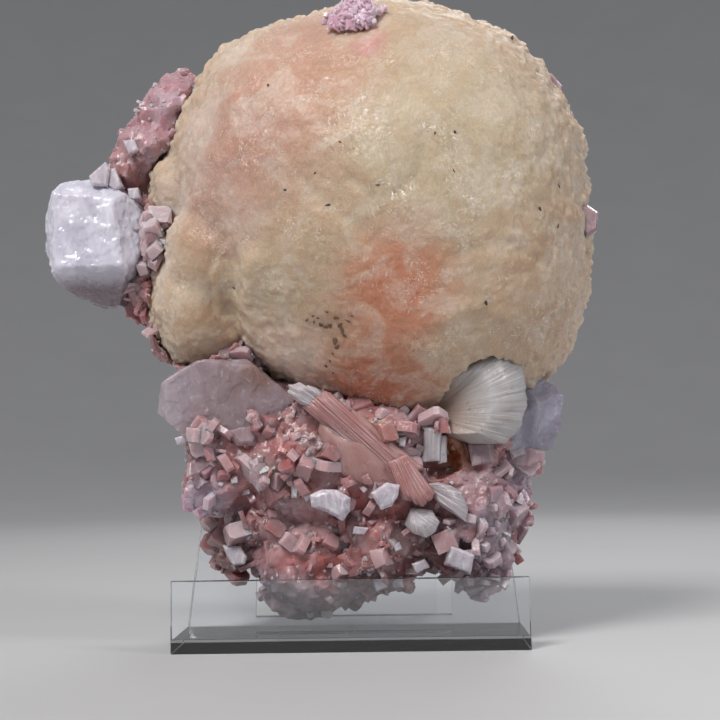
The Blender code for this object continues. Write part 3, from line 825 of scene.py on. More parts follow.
# %% Planting crystals on a surface
class Growth(Graph):
    """A Geometry Nodes tree, its named inputs and a way to make its nodes."""

    def __init__(self, name, inputs):
        self.tree = bpy.data.node_groups.new(name, "GeometryNodeTree")
        self.tree.interface.new_socket("Geometry", in_out="INPUT", socket_type="NodeSocketGeometry")
        for title, value in inputs.items():
            kind = "NodeSocketInt" if isinstance(value, int) else "NodeSocketFloat"
            socket = self.tree.interface.new_socket(title, in_out="INPUT", socket_type=kind)
            socket.default_value = value
        self.tree.interface.new_socket("Geometry", in_out="OUTPUT",
                                       socket_type="NodeSocketGeometry")
        self.given = Made(self, self.tree.nodes.new("NodeGroupInput"))

    def chance(self, least, most, seed, kind="FLOAT"):
        """A chance number for each point or instance."""
        # The numbers of the sockets for the least, the most and the result of each kind.
        low, high, out = {"FLOAT": (2, 3, 1), "FLOAT_VECTOR": (0, 1, 0), "INT": (4, 5, 2)}[kind]
        return self.node("FunctionNodeRandomValue", {"data_type": kind},
                         {low: least, high: most, "Seed": seed})[out]

    def named(self, attribute):
        """A number that was kept with each point."""
        return self.node("GeometryNodeInputNamedAttribute", {"data_type": "FLOAT"},
                         {"Name": attribute})["Attribute"]

    def give(self, geometry, material):
        """Ends the tree: plain mesh with its material."""
        plain = self.node("GeometryNodeRealizeInstances", {}, {"Geometry": geometry})["Geometry"]
        done = self.node("GeometryNodeSetMaterial", {}, {"Geometry": plain, "Material": material})
        out = self.tree.nodes.new("NodeGroupOutput")
        self.tree.links.new(done["Geometry"].socket, out.inputs["Geometry"])
        return self.tree


def grown(name, base, tree, **values):
    """Runs a tree on an object's mesh and returns a new object of plain mesh."""
    made = bpy.data.objects.new(name, base.data)
    bpy.context.scene.collection.objects.link(made)
    modifier = made.modifiers.new(name, "NODES")
    modifier.node_group = tree
    for title, value in values.items():
        socket = tree.interface.items_tree[title.replace("_", " ")]
        modifier[socket.identifier] = value
    return applied(made)


def planting_tree(material, where="growth"):
    """Plants crystals of this material as densely as an attribute of the skin says."""
    tree = Growth("crystals_on_a_skin", {
        "Spacing": 0.001, "Density": 1e6, "Least size": 0.0004, "Largest size": 0.001,
        "Lean": 0.8, "Sink": 0.2, "Seed": 1,
    })
    given = tree.given
    thrown = tree.node(
        "GeometryNodeDistributePointsOnFaces", {"distribute_method": "POISSON"},
        {"Mesh": given["Geometry"], "Distance Min": given["Spacing"],
         "Density Max": given["Density"], "Density Factor": tree.named(where),
         "Seed": given["Seed"]})
    picked = tree.node("GeometryNodeCollectionInfo", {"transform_space": "ORIGINAL"},
                       {"Collection": shapes, "Separate Children": True, "Reset Children": True})
    # Most crystals are small, so the share between the two sizes is squared.
    share = tree.chance(0.0, 1.0, given["Seed"] + 3)
    size = given["Least size"] + (given["Largest size"] - given["Least size"]) * share * share
    size = size * tree.named("grain")
    # Each leans a little off the surface's direction and turns freely about it.
    lean = given["Lean"]
    tilt = tree.chance((-1.0, -1.0, -3.1), (1.0, 1.0, 3.1), given["Seed"] + 4, "FLOAT_VECTOR")
    leaning = tree.node("ShaderNodeVectorMath", {"operation": "MULTIPLY"}, {
        0: tilt, 1: tree.node("ShaderNodeCombineXYZ", {}, {"X": lean, "Y": lean, "Z": 1.0})[0]})[0]
    turn = tree.node("FunctionNodeRotateRotation", {"rotation_space": "LOCAL"},
                     {"Rotation": thrown["Rotation"], "Rotate By": leaning})["Rotation"]
    planted = tree.node("GeometryNodeInstanceOnPoints", {}, {
        "Points": thrown["Points"], "Instance": picked["Instances"], "Pick Instance": True,
        "Instance Index": tree.chance(0, 2, given["Seed"] + 5, "INT"),
        "Rotation": turn, "Scale": size})["Instances"]
    # It sinks in by a share of its size, and keeps a number for the material.
    sunk = tree.node("GeometryNodeTranslateInstances", {}, {
        "Instances": planted,
        "Translation": tree.node("ShaderNodeCombineXYZ", {}, {"Z": 0.0 - size * given["Sink"]})[0]})
    marked = tree.node("GeometryNodeStoreNamedAttribute",
                       {"data_type": "FLOAT", "domain": "INSTANCE"},
                       {"Geometry": sunk["Instances"], "Name": "tone",
                        "Value": tree.chance(0.0, 1.0, given["Seed"] + 6)})
    return tree.give(marked["Geometry"], material)


print("a way to plant crystals ready")

# %% [markdown]
# One function makes the finishes of the whole druse, so that the colour zones run on from
# the skin to its crystals: pink, salmon and rust in the middle, lilac and grey-white at
# the sides and the foot. It is made three times, for the skin, the large blocks and the
# small crystals, which pale the most. The crystals let some light in, so the finish
# scatters light under its surface, and its fine growth lines are bump.

# %% The heulandite finish
PINK = (0.36, 0.18, 0.188)
ROSE = (0.44, 0.15, 0.145)
RED_STAIN = (0.42, 0.085, 0.07)
AMBER = (0.40, 0.13, 0.035)
LILAC = (0.40, 0.33, 0.42)
# The grey lilac below is partly the crust's own grey-lilac and partly painted shade: laid mostly
# low on the crust, it darkens it there.
GREY_LILAC_AND_SHADE = (0.27, 0.215, 0.26)
MILK = (0.54, 0.45, 0.49)
PALE_PINK = (0.46, 0.28, 0.29)
CRYSTAL_WHITE = (0.74, 0.67, 0.72)
DRUSE_PATCHES = (
    (165, 105, 13, (0.50, 0.33, 0.385), 0.95), (150, 160, 6, (0.50, 0.42, 0.48), 0.5),
    (150, 188, 4, (0.34, 0.12, 0.10), 0.8), (150, 215, 5, (0.52, 0.40, 0.42), 0.9),
    (152, 245, 8, (0.54, 0.43, 0.46), 0.9), (155, 285, 5, PALE_PINK, 0.7),
    (205, 500, 8, LILAC, 0.8), (205, 465, 5, (0.46, 0.28, 0.33), 0.8), (240, 470, 6, ROSE, 0.6),
    (262, 470, 4, (0.34, 0.25, 0.24), 0.7), (290, 450, 5, RED_STAIN, 0.7),
    (303, 490, 2.5, (0.42, 0.16, 0.09), 0.9), (330, 502, 4, LILAC, 0.9),
    (300, 530, 8, PALE_PINK, 0.8),
    (320, 560, 7, RED_STAIN, 0.6), (290, 555, 6, ROSE, 0.6), (270, 590, 7, GREY_LILAC_AND_SHADE, 0.9),
    (300, 606, 9, GREY_LILAC_AND_SHADE, 0.9), (350, 600, 7, GREY_LILAC_AND_SHADE, 0.5),
    (225, 555, 6, (0.26, 0.09, 0.075), 0.8), (232, 522, 4, GREY_LILAC_AND_SHADE, 0.6),
    (500, 520, 12, GREY_LILAC_AND_SHADE, 0.9), (485, 580, 9, GREY_LILAC_AND_SHADE, 0.8), (520, 480, 7, LILAC, 0.6),
    (520, 455, 4, (0.38, 0.37, 0.36), 0.7), (482, 455, 4, PALE_PINK, 0.7),
    (454, 450, 6.5, AMBER, 1.0), (448, 442, 4, AMBER, 0.9), (375, 440, 7, (0.50, 0.27, 0.22), 0.8),
    (335, 450, 6, (0.34, 0.17, 0.155), 0.8), (318, 440, 5, (0.20, 0.10, 0.09), 0.8),
    (430, 475, 4, (0.42, 0.22, 0.22), 0.7),
    (400, 515, 4, RED_STAIN, 0.7), (355, 500, 3, RED_STAIN, 0.8), (375, 545, 6, ROSE, 0.7),
    (410, 545, 5, (0.38, 0.19, 0.17), 0.8), (440, 545, 4, PALE_PINK, 0.7),
    (395, 590, 8, RED_STAIN, 0.6), (470, 500, 4, PINK, 0.6), (475, 535, 4, ROSE, 0.4),
)


def druse_finish(name, white=None):
    """The druse's finish; white is how far a crystal may pale, and None makes the skin's."""
    finish = Finish(name, IOR=1.50, Subsurface_Weight=0.8,
                    Subsurface_Radius=(1.0, 0.62, 0.60), Subsurface_Scale=3.0 * MM)
    colour = painted(finish, (*PINK, 1), DRUSE_PATCHES, crust_tree, 2.2)
    veins = finish.noise(0.28, 3.0, Distortion=0.5)["Fac"]
    colour = finish.tinted(colour, RED_STAIN, veins, 0.56, 0.72, 0.35)
    colour = finish.tinted(colour, MILK, veins, 0.48, 0.30, 0.4)
    if white is not None:
        tone = finish.attribute("tone")["Fac"]
        colour = finish.tinted(colour, CRYSTAL_WHITE, tone, 0.1, 0.9, white)
        rough = tone * 0.2 + 0.10
    else:
        # Painted shade by height: a deeper rose in the hollows and milkier on the heights.
        height = finish.attribute("height")["Fac"]
        colour = finish.tinted(colour, ROSE, height, 0.40, 0.05, 0.25)
        colour = finish.tinted(colour, MILK, height, 0.55, 0.95, 0.25)
        rough = finish.noise(0.7, 3.0)["Fac"] * 0.34 + 0.14
    specks = finish.noise(1.3, 2.0)["Fac"]
    colour = finish.tinted(colour, MILK, specks, 0.66, 0.74, 0.5)
    lines = turned_streaks(finish, 0.40, 2.4, 0.25)
    grainy = finish.noise(2.4, 2.0)["Fac"]
    where = finish.eased(finish.noise(0.3, 2.0)["Fac"], 0.45, 0.65)
    glint = glinting(finish, 1.6, where * 0.35 + 0.08)
    relief = finish.bump(lines * 0.5 + grainy * 0.5, 0.14, 0.8, glint)
    return finish.wire(Base_Color=colour, Roughness=rough, Normal=relief)


crust_skin = druse_finish("heulandite_druse")
crust_block = druse_finish("heulandite_druse_blocks", 0.42)
crust_crystal = druse_finish("heulandite_druse_crystals", 0.65)
tree = planting_tree(crust_crystal)
large = grown("large_crystals", crust, planting_tree(crust_block, "blocks"), Spacing=1.8 * MM,
              Density=1.5e6, Least_size=0.8 * MM, Largest_size=2.5 * MM, Lean=0.7, Sink=1.2, Seed=5)
middling = grown("middling_crystals", crust, tree, Spacing=1.3 * MM, Density=1.2e6,
                 Least_size=0.35 * MM, Largest_size=1.0 * MM, Lean=1.1, Sink=0.3, Seed=6)
small = grown("small_crystals", crust, tree, Spacing=0.6 * MM, Density=4e6,
              Least_size=0.16 * MM, Largest_size=0.5 * MM, Lean=1.2, Sink=0.1, Seed=7)
dress(crust, "heulandite_crust_skin", crust_skin, "heulandite_pink", "heulandite_crust")
dress(large, "heulandite_large_crystals", crust_block, "heulandite_pink")
dress(middling, "heulandite_middling_crystals", crust_crystal, "heulandite_pink")
dress(small, "heulandite_small_crystals", crust_crystal, "heulandite_pink")

# %% [markdown]
# The three greatest crystals keep the flat faces of their solids. They are remeshed finely,
# so that their edges can be worn down and the low terraces of their growth raised on the
# faces, which a bevel could not do. Their finish is clearer than the druse's, with faint
# cloudy veils, growth lines and a glassy polish that dulls in patches.

# %% The larger crystals
FLAW_WHITE = (0.80, 0.78, 0.84)


def clear_finish(name, body, veil, rose, share, clear=0.18, fine=1.0, foot=None, along="Z"):
    """Cloudy glassy heulandite: its body colour, veils, rose stain, clearness and fineness.

    A foot is a painted shade or highlight towards one end: a colour and the places in mm along an
    axis between which it gives way.
    """
    finish = Finish(name, IOR=1.50, Subsurface_Weight=0.6, Transmission_Weight=clear,
                    Subsurface_Radius=(1.0, 0.8, 0.85), Subsurface_Scale=2.6 * MM)
    drawn = finish.vector("MULTIPLY", finish.place, (1.0, 1.0, 0.45))
    clouds = finish.noise(0.30 * fine, 5.0, drawn, Distortion=0.8)["Fac"]
    colour = finish.blend(finish.eased(clouds, 0.35, 0.75), (*body, 1), (*veil, 1))
    if foot:
        tint, low, high = foot
        above = finish.node("SeparateXYZ", {}, {0: finish.place})[along]
        colour = finish.tinted(colour, tint, above, high, low)
    stain = finish.noise(0.12, 3.0)["Fac"]
    colour = finish.tinted(colour, rose, stain, 0.48, 0.75, share)
    flaws = finish.noise(1.1 * fine ** 0.5, 4.0)["Fac"]
    colour = finish.tinted(colour, FLAW_WHITE, flaws, 0.58, 0.80, 0.5)
    lines = finish.noise(1.4, 3.0, finish.vector("MULTIPLY", finish.place, (1.0, 1.0, 5.0)))["Fac"]
    pits = finish.noise(2.4, 4.0)["Fac"]
    rough = finish.eased(clouds, 0.35, 0.7) * 0.26 + 0.08
    glint = glinting(finish, 1.6, finish.eased(flaws, 0.52, 0.70) * 0.35)
    relief = finish.bump(lines * 0.4 + pits * 0.6, 0.10, 0.6, glint)
    return finish.wire(Base_Color=colour, Roughness=rough, Normal=relief)


def terrace(made, voxel, step, scale, seed, rounds=1):
    """Remeshes a crystal, wears its edges down and raises low terraces on its faces.

    The voxel, the step and the scale of the terraces are in mm; rounds wear the edges down.
    """
    add_modifier(made, "REMESH", mode="VOXEL", voxel_size=voxel * MM)
    add_modifier(made, "SMOOTH", iterations=rounds, factor=0.5)
    applied(made)
    places, outward = points_of(made.data)
    # Each terrace is flat, and climbs to the next one over the last tenth of its width.
    growth = wave(places, scale, seed, 4) * 2.2
    level = np.floor(growth)
    climb = np.clip((growth - level - 0.9) / 0.1, 0, 1)
    move_points(made.data, places + outward * (step * (level + climb) - step * 0.5)[:, None])
    made.data.shade_smooth()
    return made


def dress_crystal(node, material, *terraces):
    """Dresses one of the large crystals: voxel, step, scale, seed and rounds of wear."""
    made = terrace(copy_of(node), *terraces)
    return dress(made, node + "_faces", material, "heulandite_lilac", node)


# The left crystal's foot paints its low face darker, fully below 62.5 mm and fading out by 65.5 mm:
# painted shade.
white_crystal = clear_finish("cloudy_white", (0.60, 0.585, 0.69), (0.80, 0.79, 0.88), PINK,
                             0.15, 0.08, foot=((0.26, 0.215, 0.25), 62.5, 65.5))
small_white = clear_finish("cloudy_small_white", (0.50, 0.45, 0.51), (0.76, 0.72, 0.78), PINK,
                           0.35, 0.08, fine=2.6)
lilac_crystal = clear_finish("clear_lilac", (0.33, 0.31, 0.385), (0.50, 0.48, 0.58), ROSE, 0.1,
                             0.25)
# The plate's foot paints its left end paler, fully left of X = -34 mm and fading out by -23 mm: a
# painted highlight on its bright left facets.
plate_crystal = clear_finish("lilac_plate", (0.32, 0.235, 0.255), (0.42, 0.34, 0.38),
                             (0.28, 0.15, 0.11), 0.7, foot=((0.47, 0.41, 0.46), -34.0, -23.0),
                             along="X")
dress_crystal("heulandite_left_crystal", white_crystal, 0.28, 0.20, 3.6, 3.0, 12)
dress_crystal("heulandite_plate", plate_crystal, 0.28, 0.16, 4.0, 4.0, 6)
dress_crystal("heulandite_block", lilac_crystal, 0.26, 0.12, 4.0, 5.0, 3)

# %% [markdown]
# The smaller single crystals are told by the outline of their front face, read as picture
# points. Each is a block behind that outline, with a chamfer round the face. Modelling each
# from a cube would take longer, and its outline would be off. Where no depth is given, the
# crust under the outline's middle sets it, so that the crystal sits in it. Five of them
# replace solids and get low terraces, and a small bevel does for the rest.

# %% Crystals by their outline
def outline_crystal(bm, outline, depth=None, thick=2.6, tilt=(0.0, 0.0), proud=0.9, chamfer=0.22):
    """Adds a block behind a face of this outline.

    Tilt leans the face along X and Z. Depth, thickness and how proud it stands of the crust
    are in mm, and the chamfer is a share of the outline.
    """
    middle = np.mean(outline, 0)
    if depth is None:
        place, _ = seen(*middle, crust_tree)
        depth = place.y - proud
    rim = [at_depth(*spot, depth) for spot in outline]
    heart = sum(rim, Vector()) / len(rim)
    # The share of the outline and the depth behind the face, from the front to the back.
    sections = ((1 - chamfer, 0.0), (1.0, chamfer * thick * 0.6), (0.9, thick))
    rings = []
    for share, back in sections:
        ring = []
        for spot in rim:
            off = (spot - heart) * share
            lean = Vector((0, off.x * tilt[0] + off.z * tilt[1] + back, 0))
            ring.append(bm.verts.new((heart + off + lean) * MM))
        rings.append(ring)
    bm.faces.new(rings[0])
    bm.faces.new(rings[-1][::-1])
    bridge(bm, rings)


def outline_piece(name, crystals, material, slot, *nodes, terraces=None):
    """One piece of several such crystals, terraced or else bevelled."""
    bm = bmesh.new()
    for crystal in crystals:
        outline_crystal(bm, **crystal)
    bmesh.ops.recalc_face_normals(bm, faces=bm.faces)
    made = object_of(bm, name)
    if terraces:
        terrace(made, *terraces)
    else:
        add_modifier(made, "BEVEL", width=0.06 * MM, segments=1, limit_method="ANGLE",
                     angle_limit=math.radians(25))
        applied(made)
    return dress(made, name, material, slot, *nodes)


SINGLE_TERRACES = (0.13, 0.05, 1.8, 6.0)  # voxel, step and scale in mm, and the seed
SINGLE = {
    "heulandite_pentagon": dict(
        outline=((370, 493), (386, 482), (400, 485), (399, 495), (392, 507), (381, 510)),
        depth=-15.0, thick=4.6, tilt=(0.25, -0.2)),
    "heulandite_cube": dict(outline=((449, 543), (475, 555), (471, 576), (444, 565)),
                            depth=-9.6, thick=4.6, tilt=(-0.2, -0.25)),
    "heulandite_cube_small": dict(outline=((411, 564), (425, 559), (431, 568), (416, 575)),
                                  depth=-8.2, thick=3.2, tilt=(0.2, -0.1)),
    "heulandite_lens": dict(
        outline=((309, 495), (321, 489), (337, 490), (351, 498), (350, 512), (343, 522),
                 (325, 512), (311, 508)), depth=-13.2, thick=4.0, tilt=(0.15, -0.1), chamfer=0.35),
    "heulandite_foot": dict(
        outline=((221, 545), (240, 546), (247, 557), (245, 565), (233, 566), (226, 557)),
        depth=-2.9, thick=3.0, tilt=(-0.3, 0.1)),
}
for node, crystal in SINGLE.items():
    outline_piece(node + "_faces", [crystal], small_white, "heulandite_lilac", node,
                  terraces=SINGLE_TERRACES)

# %% [markdown]
# Some thirty more crystals catch the eye in the picture without having a solid of their
# own. The white ones sit on the druse and the pink ones are part of it. They are made the
# same way and joined in two pieces, one for each finish.

# %% More crystals by their outline
WHITE_CRYSTALS = (
    dict(outline=((89, 176), (104, 160), (109, 167), (107, 186), (92, 186)), depth=-2.5,
         thick=4.0, tilt=(0.3, 0.2)),
    dict(outline=((106, 168), (114, 167), (123, 186), (116, 192), (107, 186)), depth=-1.5,
         thick=4.0, tilt=(-0.3, 0.2)),
    dict(outline=((127, 188), (138, 187), (140, 198), (129, 200)), depth=-1.0, thick=3.0),
    dict(outline=((122, 140), (134, 138), (139, 150), (129, 155)), depth=0.0, thick=3.0,
         tilt=(0.2, 0.3)),
    dict(outline=((174, 438), (190, 433), (188, 443), (177, 445)), proud=1.2),
    dict(outline=((398, 437), (407, 436), (405, 447), (399, 446)), proud=1.2, tilt=(0.3, 0.2)),
    dict(outline=((290, 480), (300, 479), (297, 498), (291, 498)), proud=1.4, tilt=(-0.4, 0.0)),
    dict(outline=((354, 526), (369, 528), (364, 535), (352, 534)), proud=1.2, tilt=(0.1, -0.4)),
    dict(outline=((335, 537), (349, 536), (347, 541), (337, 541)), proud=1.2, tilt=(0.1, 0.3)),
    dict(outline=((303, 497), (309, 493), (311, 499), (306, 502)), proud=1.2),
    dict(outline=((230, 478), (237, 476), (238, 483), (231, 484)), proud=1.0),
    dict(outline=((392, 545), (400, 541), (403, 549), (396, 552)), proud=1.0, tilt=(0.3, 0.1)),
    dict(outline=((372, 578), (384, 575), (388, 588), (376, 592)), proud=1.0, tilt=(0.2, -0.2)),
    dict(outline=((391, 577), (402, 576), (404, 587), (393, 589)), proud=1.0, tilt=(-0.2, -0.2)),
)
PINK_CRYSTALS = (
    dict(outline=((187, 478), (187, 463), (222, 449), (225, 453), (199, 474)), proud=1.4,
         tilt=(0.2, 0.4)),
    dict(outline=((197, 512), (207, 512), (222, 527), (238, 542), (226, 544), (210, 536),
                  (198, 521)), proud=1.2, tilt=(-0.3, 0.3)),
    dict(outline=((248, 462), (258, 456), (270, 458), (275, 470), (272, 488), (258, 492),
                  (249, 480)), proud=1.0, tilt=(0.1, 0.1), chamfer=0.4),
    dict(outline=((468, 444), (494, 442), (496, 462), (472, 466)), proud=1.6, tilt=(0.1, 0.1)),
    dict(outline=((497, 450), (528, 447), (545, 452), (544, 461), (528, 467), (500, 464)),
         proud=1.4, tilt=(-0.2, 0.2)),
    dict(outline=((478, 495), (492, 486), (508, 492), (513, 506), (500, 520), (484, 515)),
         proud=1.0, tilt=(-0.2, 0.1), chamfer=0.4),
    dict(outline=((508, 516), (522, 514), (529, 530), (520, 545), (506, 540)), proud=0.8,
         tilt=(-0.4, 0.0), chamfer=0.4),
    dict(outline=((490, 542), (508, 540), (515, 560), (505, 578), (491, 570)), proud=0.8,
         tilt=(-0.3, -0.1), chamfer=0.4),
    dict(outline=((142, 214), (150, 210), (160, 222), (158, 240), (146, 244)), proud=0.6,
         tilt=(0.3, 0.2), chamfer=0.4),
    dict(outline=((146, 246), (158, 240), (164, 256), (156, 272), (147, 266)), proud=0.6,
         tilt=(-0.2, 0.3), chamfer=0.4),
    dict(outline=((575, 208), (588, 203), (599, 212), (597, 230), (587, 237), (577, 226)),
         depth=-5.0, thick=10.0, tilt=(-0.5, 0.1)),
    dict(outline=((538, 76), (551, 72), (563, 86), (564, 104), (548, 104)), depth=3.0, thick=6.0,
         tilt=(-0.3, -0.2)),
    dict(outline=((168, 322), (184, 318), (188, 332), (178, 344), (168, 338)), proud=0.8,
         chamfer=0.4),
    dict(outline=((224, 430), (238, 424), (256, 424), (264, 434), (256, 446), (236, 446)),
         depth=-7.5, thick=5.0, tilt=(0.1, 0.3), chamfer=0.4),
    dict(outline=((204, 432), (216, 428), (228, 434), (224, 448), (208, 446)), depth=-6.5,
         thick=5.0, tilt=(-0.2, 0.2), chamfer=0.4),
)
outline_piece("heulandite_white_crystals", WHITE_CRYSTALS, small_white, "heulandite_lilac")
pink_clear = clear_finish("clear_pink", (0.34, 0.235, 0.26), (0.50, 0.40, 0.44), ROSE, 0.3, 0.15,
                          fine=2.0)
outline_piece("heulandite_pink_crystals", PINK_CRYSTALS, pink_clear, "heulandite_pink")

# %% [markdown]
# Stilbite also grows as fans, like a sheaf of straw tied at one end. Seen close, a fan is one
# silky shell: its blades lie so tightly that only fine lines between them show, and their
# ends make a ragged rim. So a fan is a grid here. It runs from the root to the rim, which
# are given as picture points at one depth, and swells to the front. Each blade has its own
# height and length, so that low steps part it from its neighbours.

# %% A silky shell of blades
def along_line(line, share):
    """The points that lie at these shares of a line's length."""
    line = np.array(line, float)
    length = np.concatenate(([0], np.cumsum(np.linalg.norm(np.diff(line, axis=0), axis=1))))
    return np.stack([np.interp(share * length[-1], length, column) for column in line.T], 1)


def fan_sheets(root, rim, depth, rise, blades, seed, rough=0.10, thick=1.4, curl=0.4,
               grid=(40, 6), ragged=0.03):
    """The front and back of a fan as grids of points, and how far each is from the root.

    Root and rim are picture points; the depth, the rise, the roughness and the thickness are
    in mm. The grid is the rows from root to rim and the columns to a blade.
    """
    chance = np.random.default_rng(seed)
    rows, each = grid
    around = blades * each + 1
    share = np.linspace(0, 1, around)
    blade = np.minimum((share * blades).astype(int), blades - 1)
    within = share * blades - blade
    flat = np.array([at_depth(*spot, depth) for spot in root])
    start = along_line(flat, share) if len(flat) > 1 else np.repeat(flat, around, 0)
    end = along_line([at_depth(*spot, depth) for spot in rim], share)
    length = 1 - ragged * chance.random(blades) ** 2
    height = chance.normal(0, rough, blades)
    reach = np.interp(share * blades, np.arange(blades) + 0.5, length)
    v = np.linspace(0, 1, rows)[:, None]
    place = start + (end - start) * v[..., None] * reach[None, :, None]
    # The shell swells towards its middle line and curls back towards the rim.
    off = 2 * share - 1
    dome = np.sqrt(np.clip(1 - off ** 2, 0, 1)) ** 0.8
    swell = rise * dome * np.clip(v / (1 - curl), 0, 1) ** 0.7
    swell = swell - rise * 0.55 * dome * np.clip((v - (1 - curl)) / curl, 0, 1) ** 2
    # Each blade has its own height and a groove on either side.
    groove = -np.abs(within - 0.5) * 1.4 * rough
    ridges = (height[blade] + groove) * np.clip(v * 3, 0, 1)
    wobble = 0.5 * rough * np.array([[noise.noise(Vector((n * 0.21, k * 0.35, seed)))
                                      for n in range(around)] for k in range(rows)])
    front = place.copy()
    front[..., 1] -= swell + ridges + wobble
    back = place.copy()
    back[..., 1] = front[..., 1] + thick * (0.4 + 0.6 * v)
    return front, back, share * blades, np.linalg.norm(place - start, axis=2)


def edge_of(sheet):
    """The points round the rim of a grid, each once."""
    return ([row[0] for row in sheet] + sheet[-1][1:] + [row[-1] for row in sheet[-2::-1]]
            + sheet[0][-2:0:-1])


def fan_shell(name, **shape):
    """A closed shell, which keeps each point's blade and run for the finish."""
    front, back, blade_at, reaches = fan_sheets(**shape)
    bm = bmesh.new()
    turn = bm.verts.layers.float.new("turn")
    run = bm.verts.layers.float.new("run")

    def point(side, k, n):
        made = bm.verts.new(side[k, n] * MM)
        made[turn] = blade_at[n]
        made[run] = reaches[k, n]
        return made

    rows, around = reaches.shape
    sheets = [[[point(side, k, n) for n in range(around)] for k in range(rows)]
              for side in (front, back)]
    for sheet in sheets:
        bridge(bm, sheet, closed=False)
    bridge(bm, [edge_of(sheet) for sheet in sheets])
    bmesh.ops.remove_doubles(bm, verts=bm.verts, dist=0.01 * MM)
    bmesh.ops.recalc_face_normals(bm, faces=bm.faces)
    made = object_of(bm, name)
    made.data.shade_smooth()
    return made


def joined(parts, name, material, slot, *nodes):
    """Joins finished meshes in one piece."""
    bm = bmesh.new()
    for part in parts:
        bm.from_mesh(part.data)
    bm.to_mesh(parts[0].data)
    bm.free()
    for part in parts[1:]:
        bpy.data.objects.remove(part)
    return dress(parts[0], name, material, slot, *nodes)


print("fan helpers ready")

# %% [markdown]
# The finish of a fan runs its fine lines from root to rim. A noise in space would cut across
# the blades, so it reads two numbers kept with the mesh: on which blade a point lies, and
# how far from the root.

# %% The silky finishes
def silk_finish(name, pale, deep, share, rough=0.22, lines=0.6, bright=(0.80, 0.79, 0.80),
                foot=None):
    """Its pale and deep tints and their share, and the bright tint of its lines.

    A foot is a tint and the lengths along the blades in mm between which it takes over.
    """
    finish = Finish(name, IOR=1.50, Subsurface_Weight=0.6, Subsurface_Radius=(1.0, 0.8, 0.72),
                    Subsurface_Scale=1.6 * MM)
    turn = finish.attribute("turn")["Fac"]
    run = finish.attribute("run")["Fac"]
    fibre = finish.node("CombineXYZ", {}, {"X": turn * 2.4, "Y": run * 0.12, "Z": 0.0})[0]
    broad = finish.node("CombineXYZ", {}, {"X": turn * 0.5, "Y": run * 0.14, "Z": 5.0})[0]
    fine = finish.noise(1.0, 3.0, fibre)["Fac"]
    bands = finish.noise(1.0, 3.0, broad)["Fac"]
    clouds = finish.noise(0.22, 3.0)["Fac"]
    colour = finish.tinted((*pale, 1), deep, clouds, 0.38, 0.66, share)
    colour = finish.tinted(colour, deep, bands, 0.40, 0.62, lines * 0.6)
    colour = finish.tinted(colour, bright, fine, 0.50, 0.72, lines)
    if foot:
        tint, low, high = foot
        colour = finish.tinted(colour, tint, run, low, high)
    broken = finish.eased(finish.noise(1.2, 3.0)["Fac"], 0.52, 0.66)
    glint = glinting(finish, 1.8, broken * 0.6)
    relief = finish.bump(fine * 0.5 + bands * 0.5, 0.045, 0.8, glint)
    return finish.wire(Base_Color=colour, Roughness=finish.eased(bands, 0.3, 0.7) * 0.2 + rough,
                       Normal=relief)


white_silk = silk_finish("white_silk", (0.46, 0.445, 0.455), (0.37, 0.32, 0.30), 0.5, 0.26,
                         foot=((0.34, 0.255, 0.21), 10.0, 2.0))
short_silk = silk_finish("short_white_silk", (0.46, 0.43, 0.46), (0.36, 0.31, 0.33), 0.5, 0.24)
pink_silk = silk_finish("pink_silk", (0.36, 0.19, 0.19), (0.30, 0.10, 0.09), 0.4, 0.22, 0.85,
                        (0.70, 0.55, 0.55))
peach_silk = silk_finish("peach_silk", (0.42, 0.25, 0.24), (0.32, 0.15, 0.13), 0.6, 0.30, 0.2,
                         (0.52, 0.38, 0.37))
print("four silky finishes ready")

# %% [markdown]
# Five solids are fans or blades of stilbite, and two thin forms lie on the spray: its white
# tip, and a peach sheet beside its spine. Each is one shell or a few, so they stand in a
# table, from the great sheaf at the right to the sheet. A loop makes them.

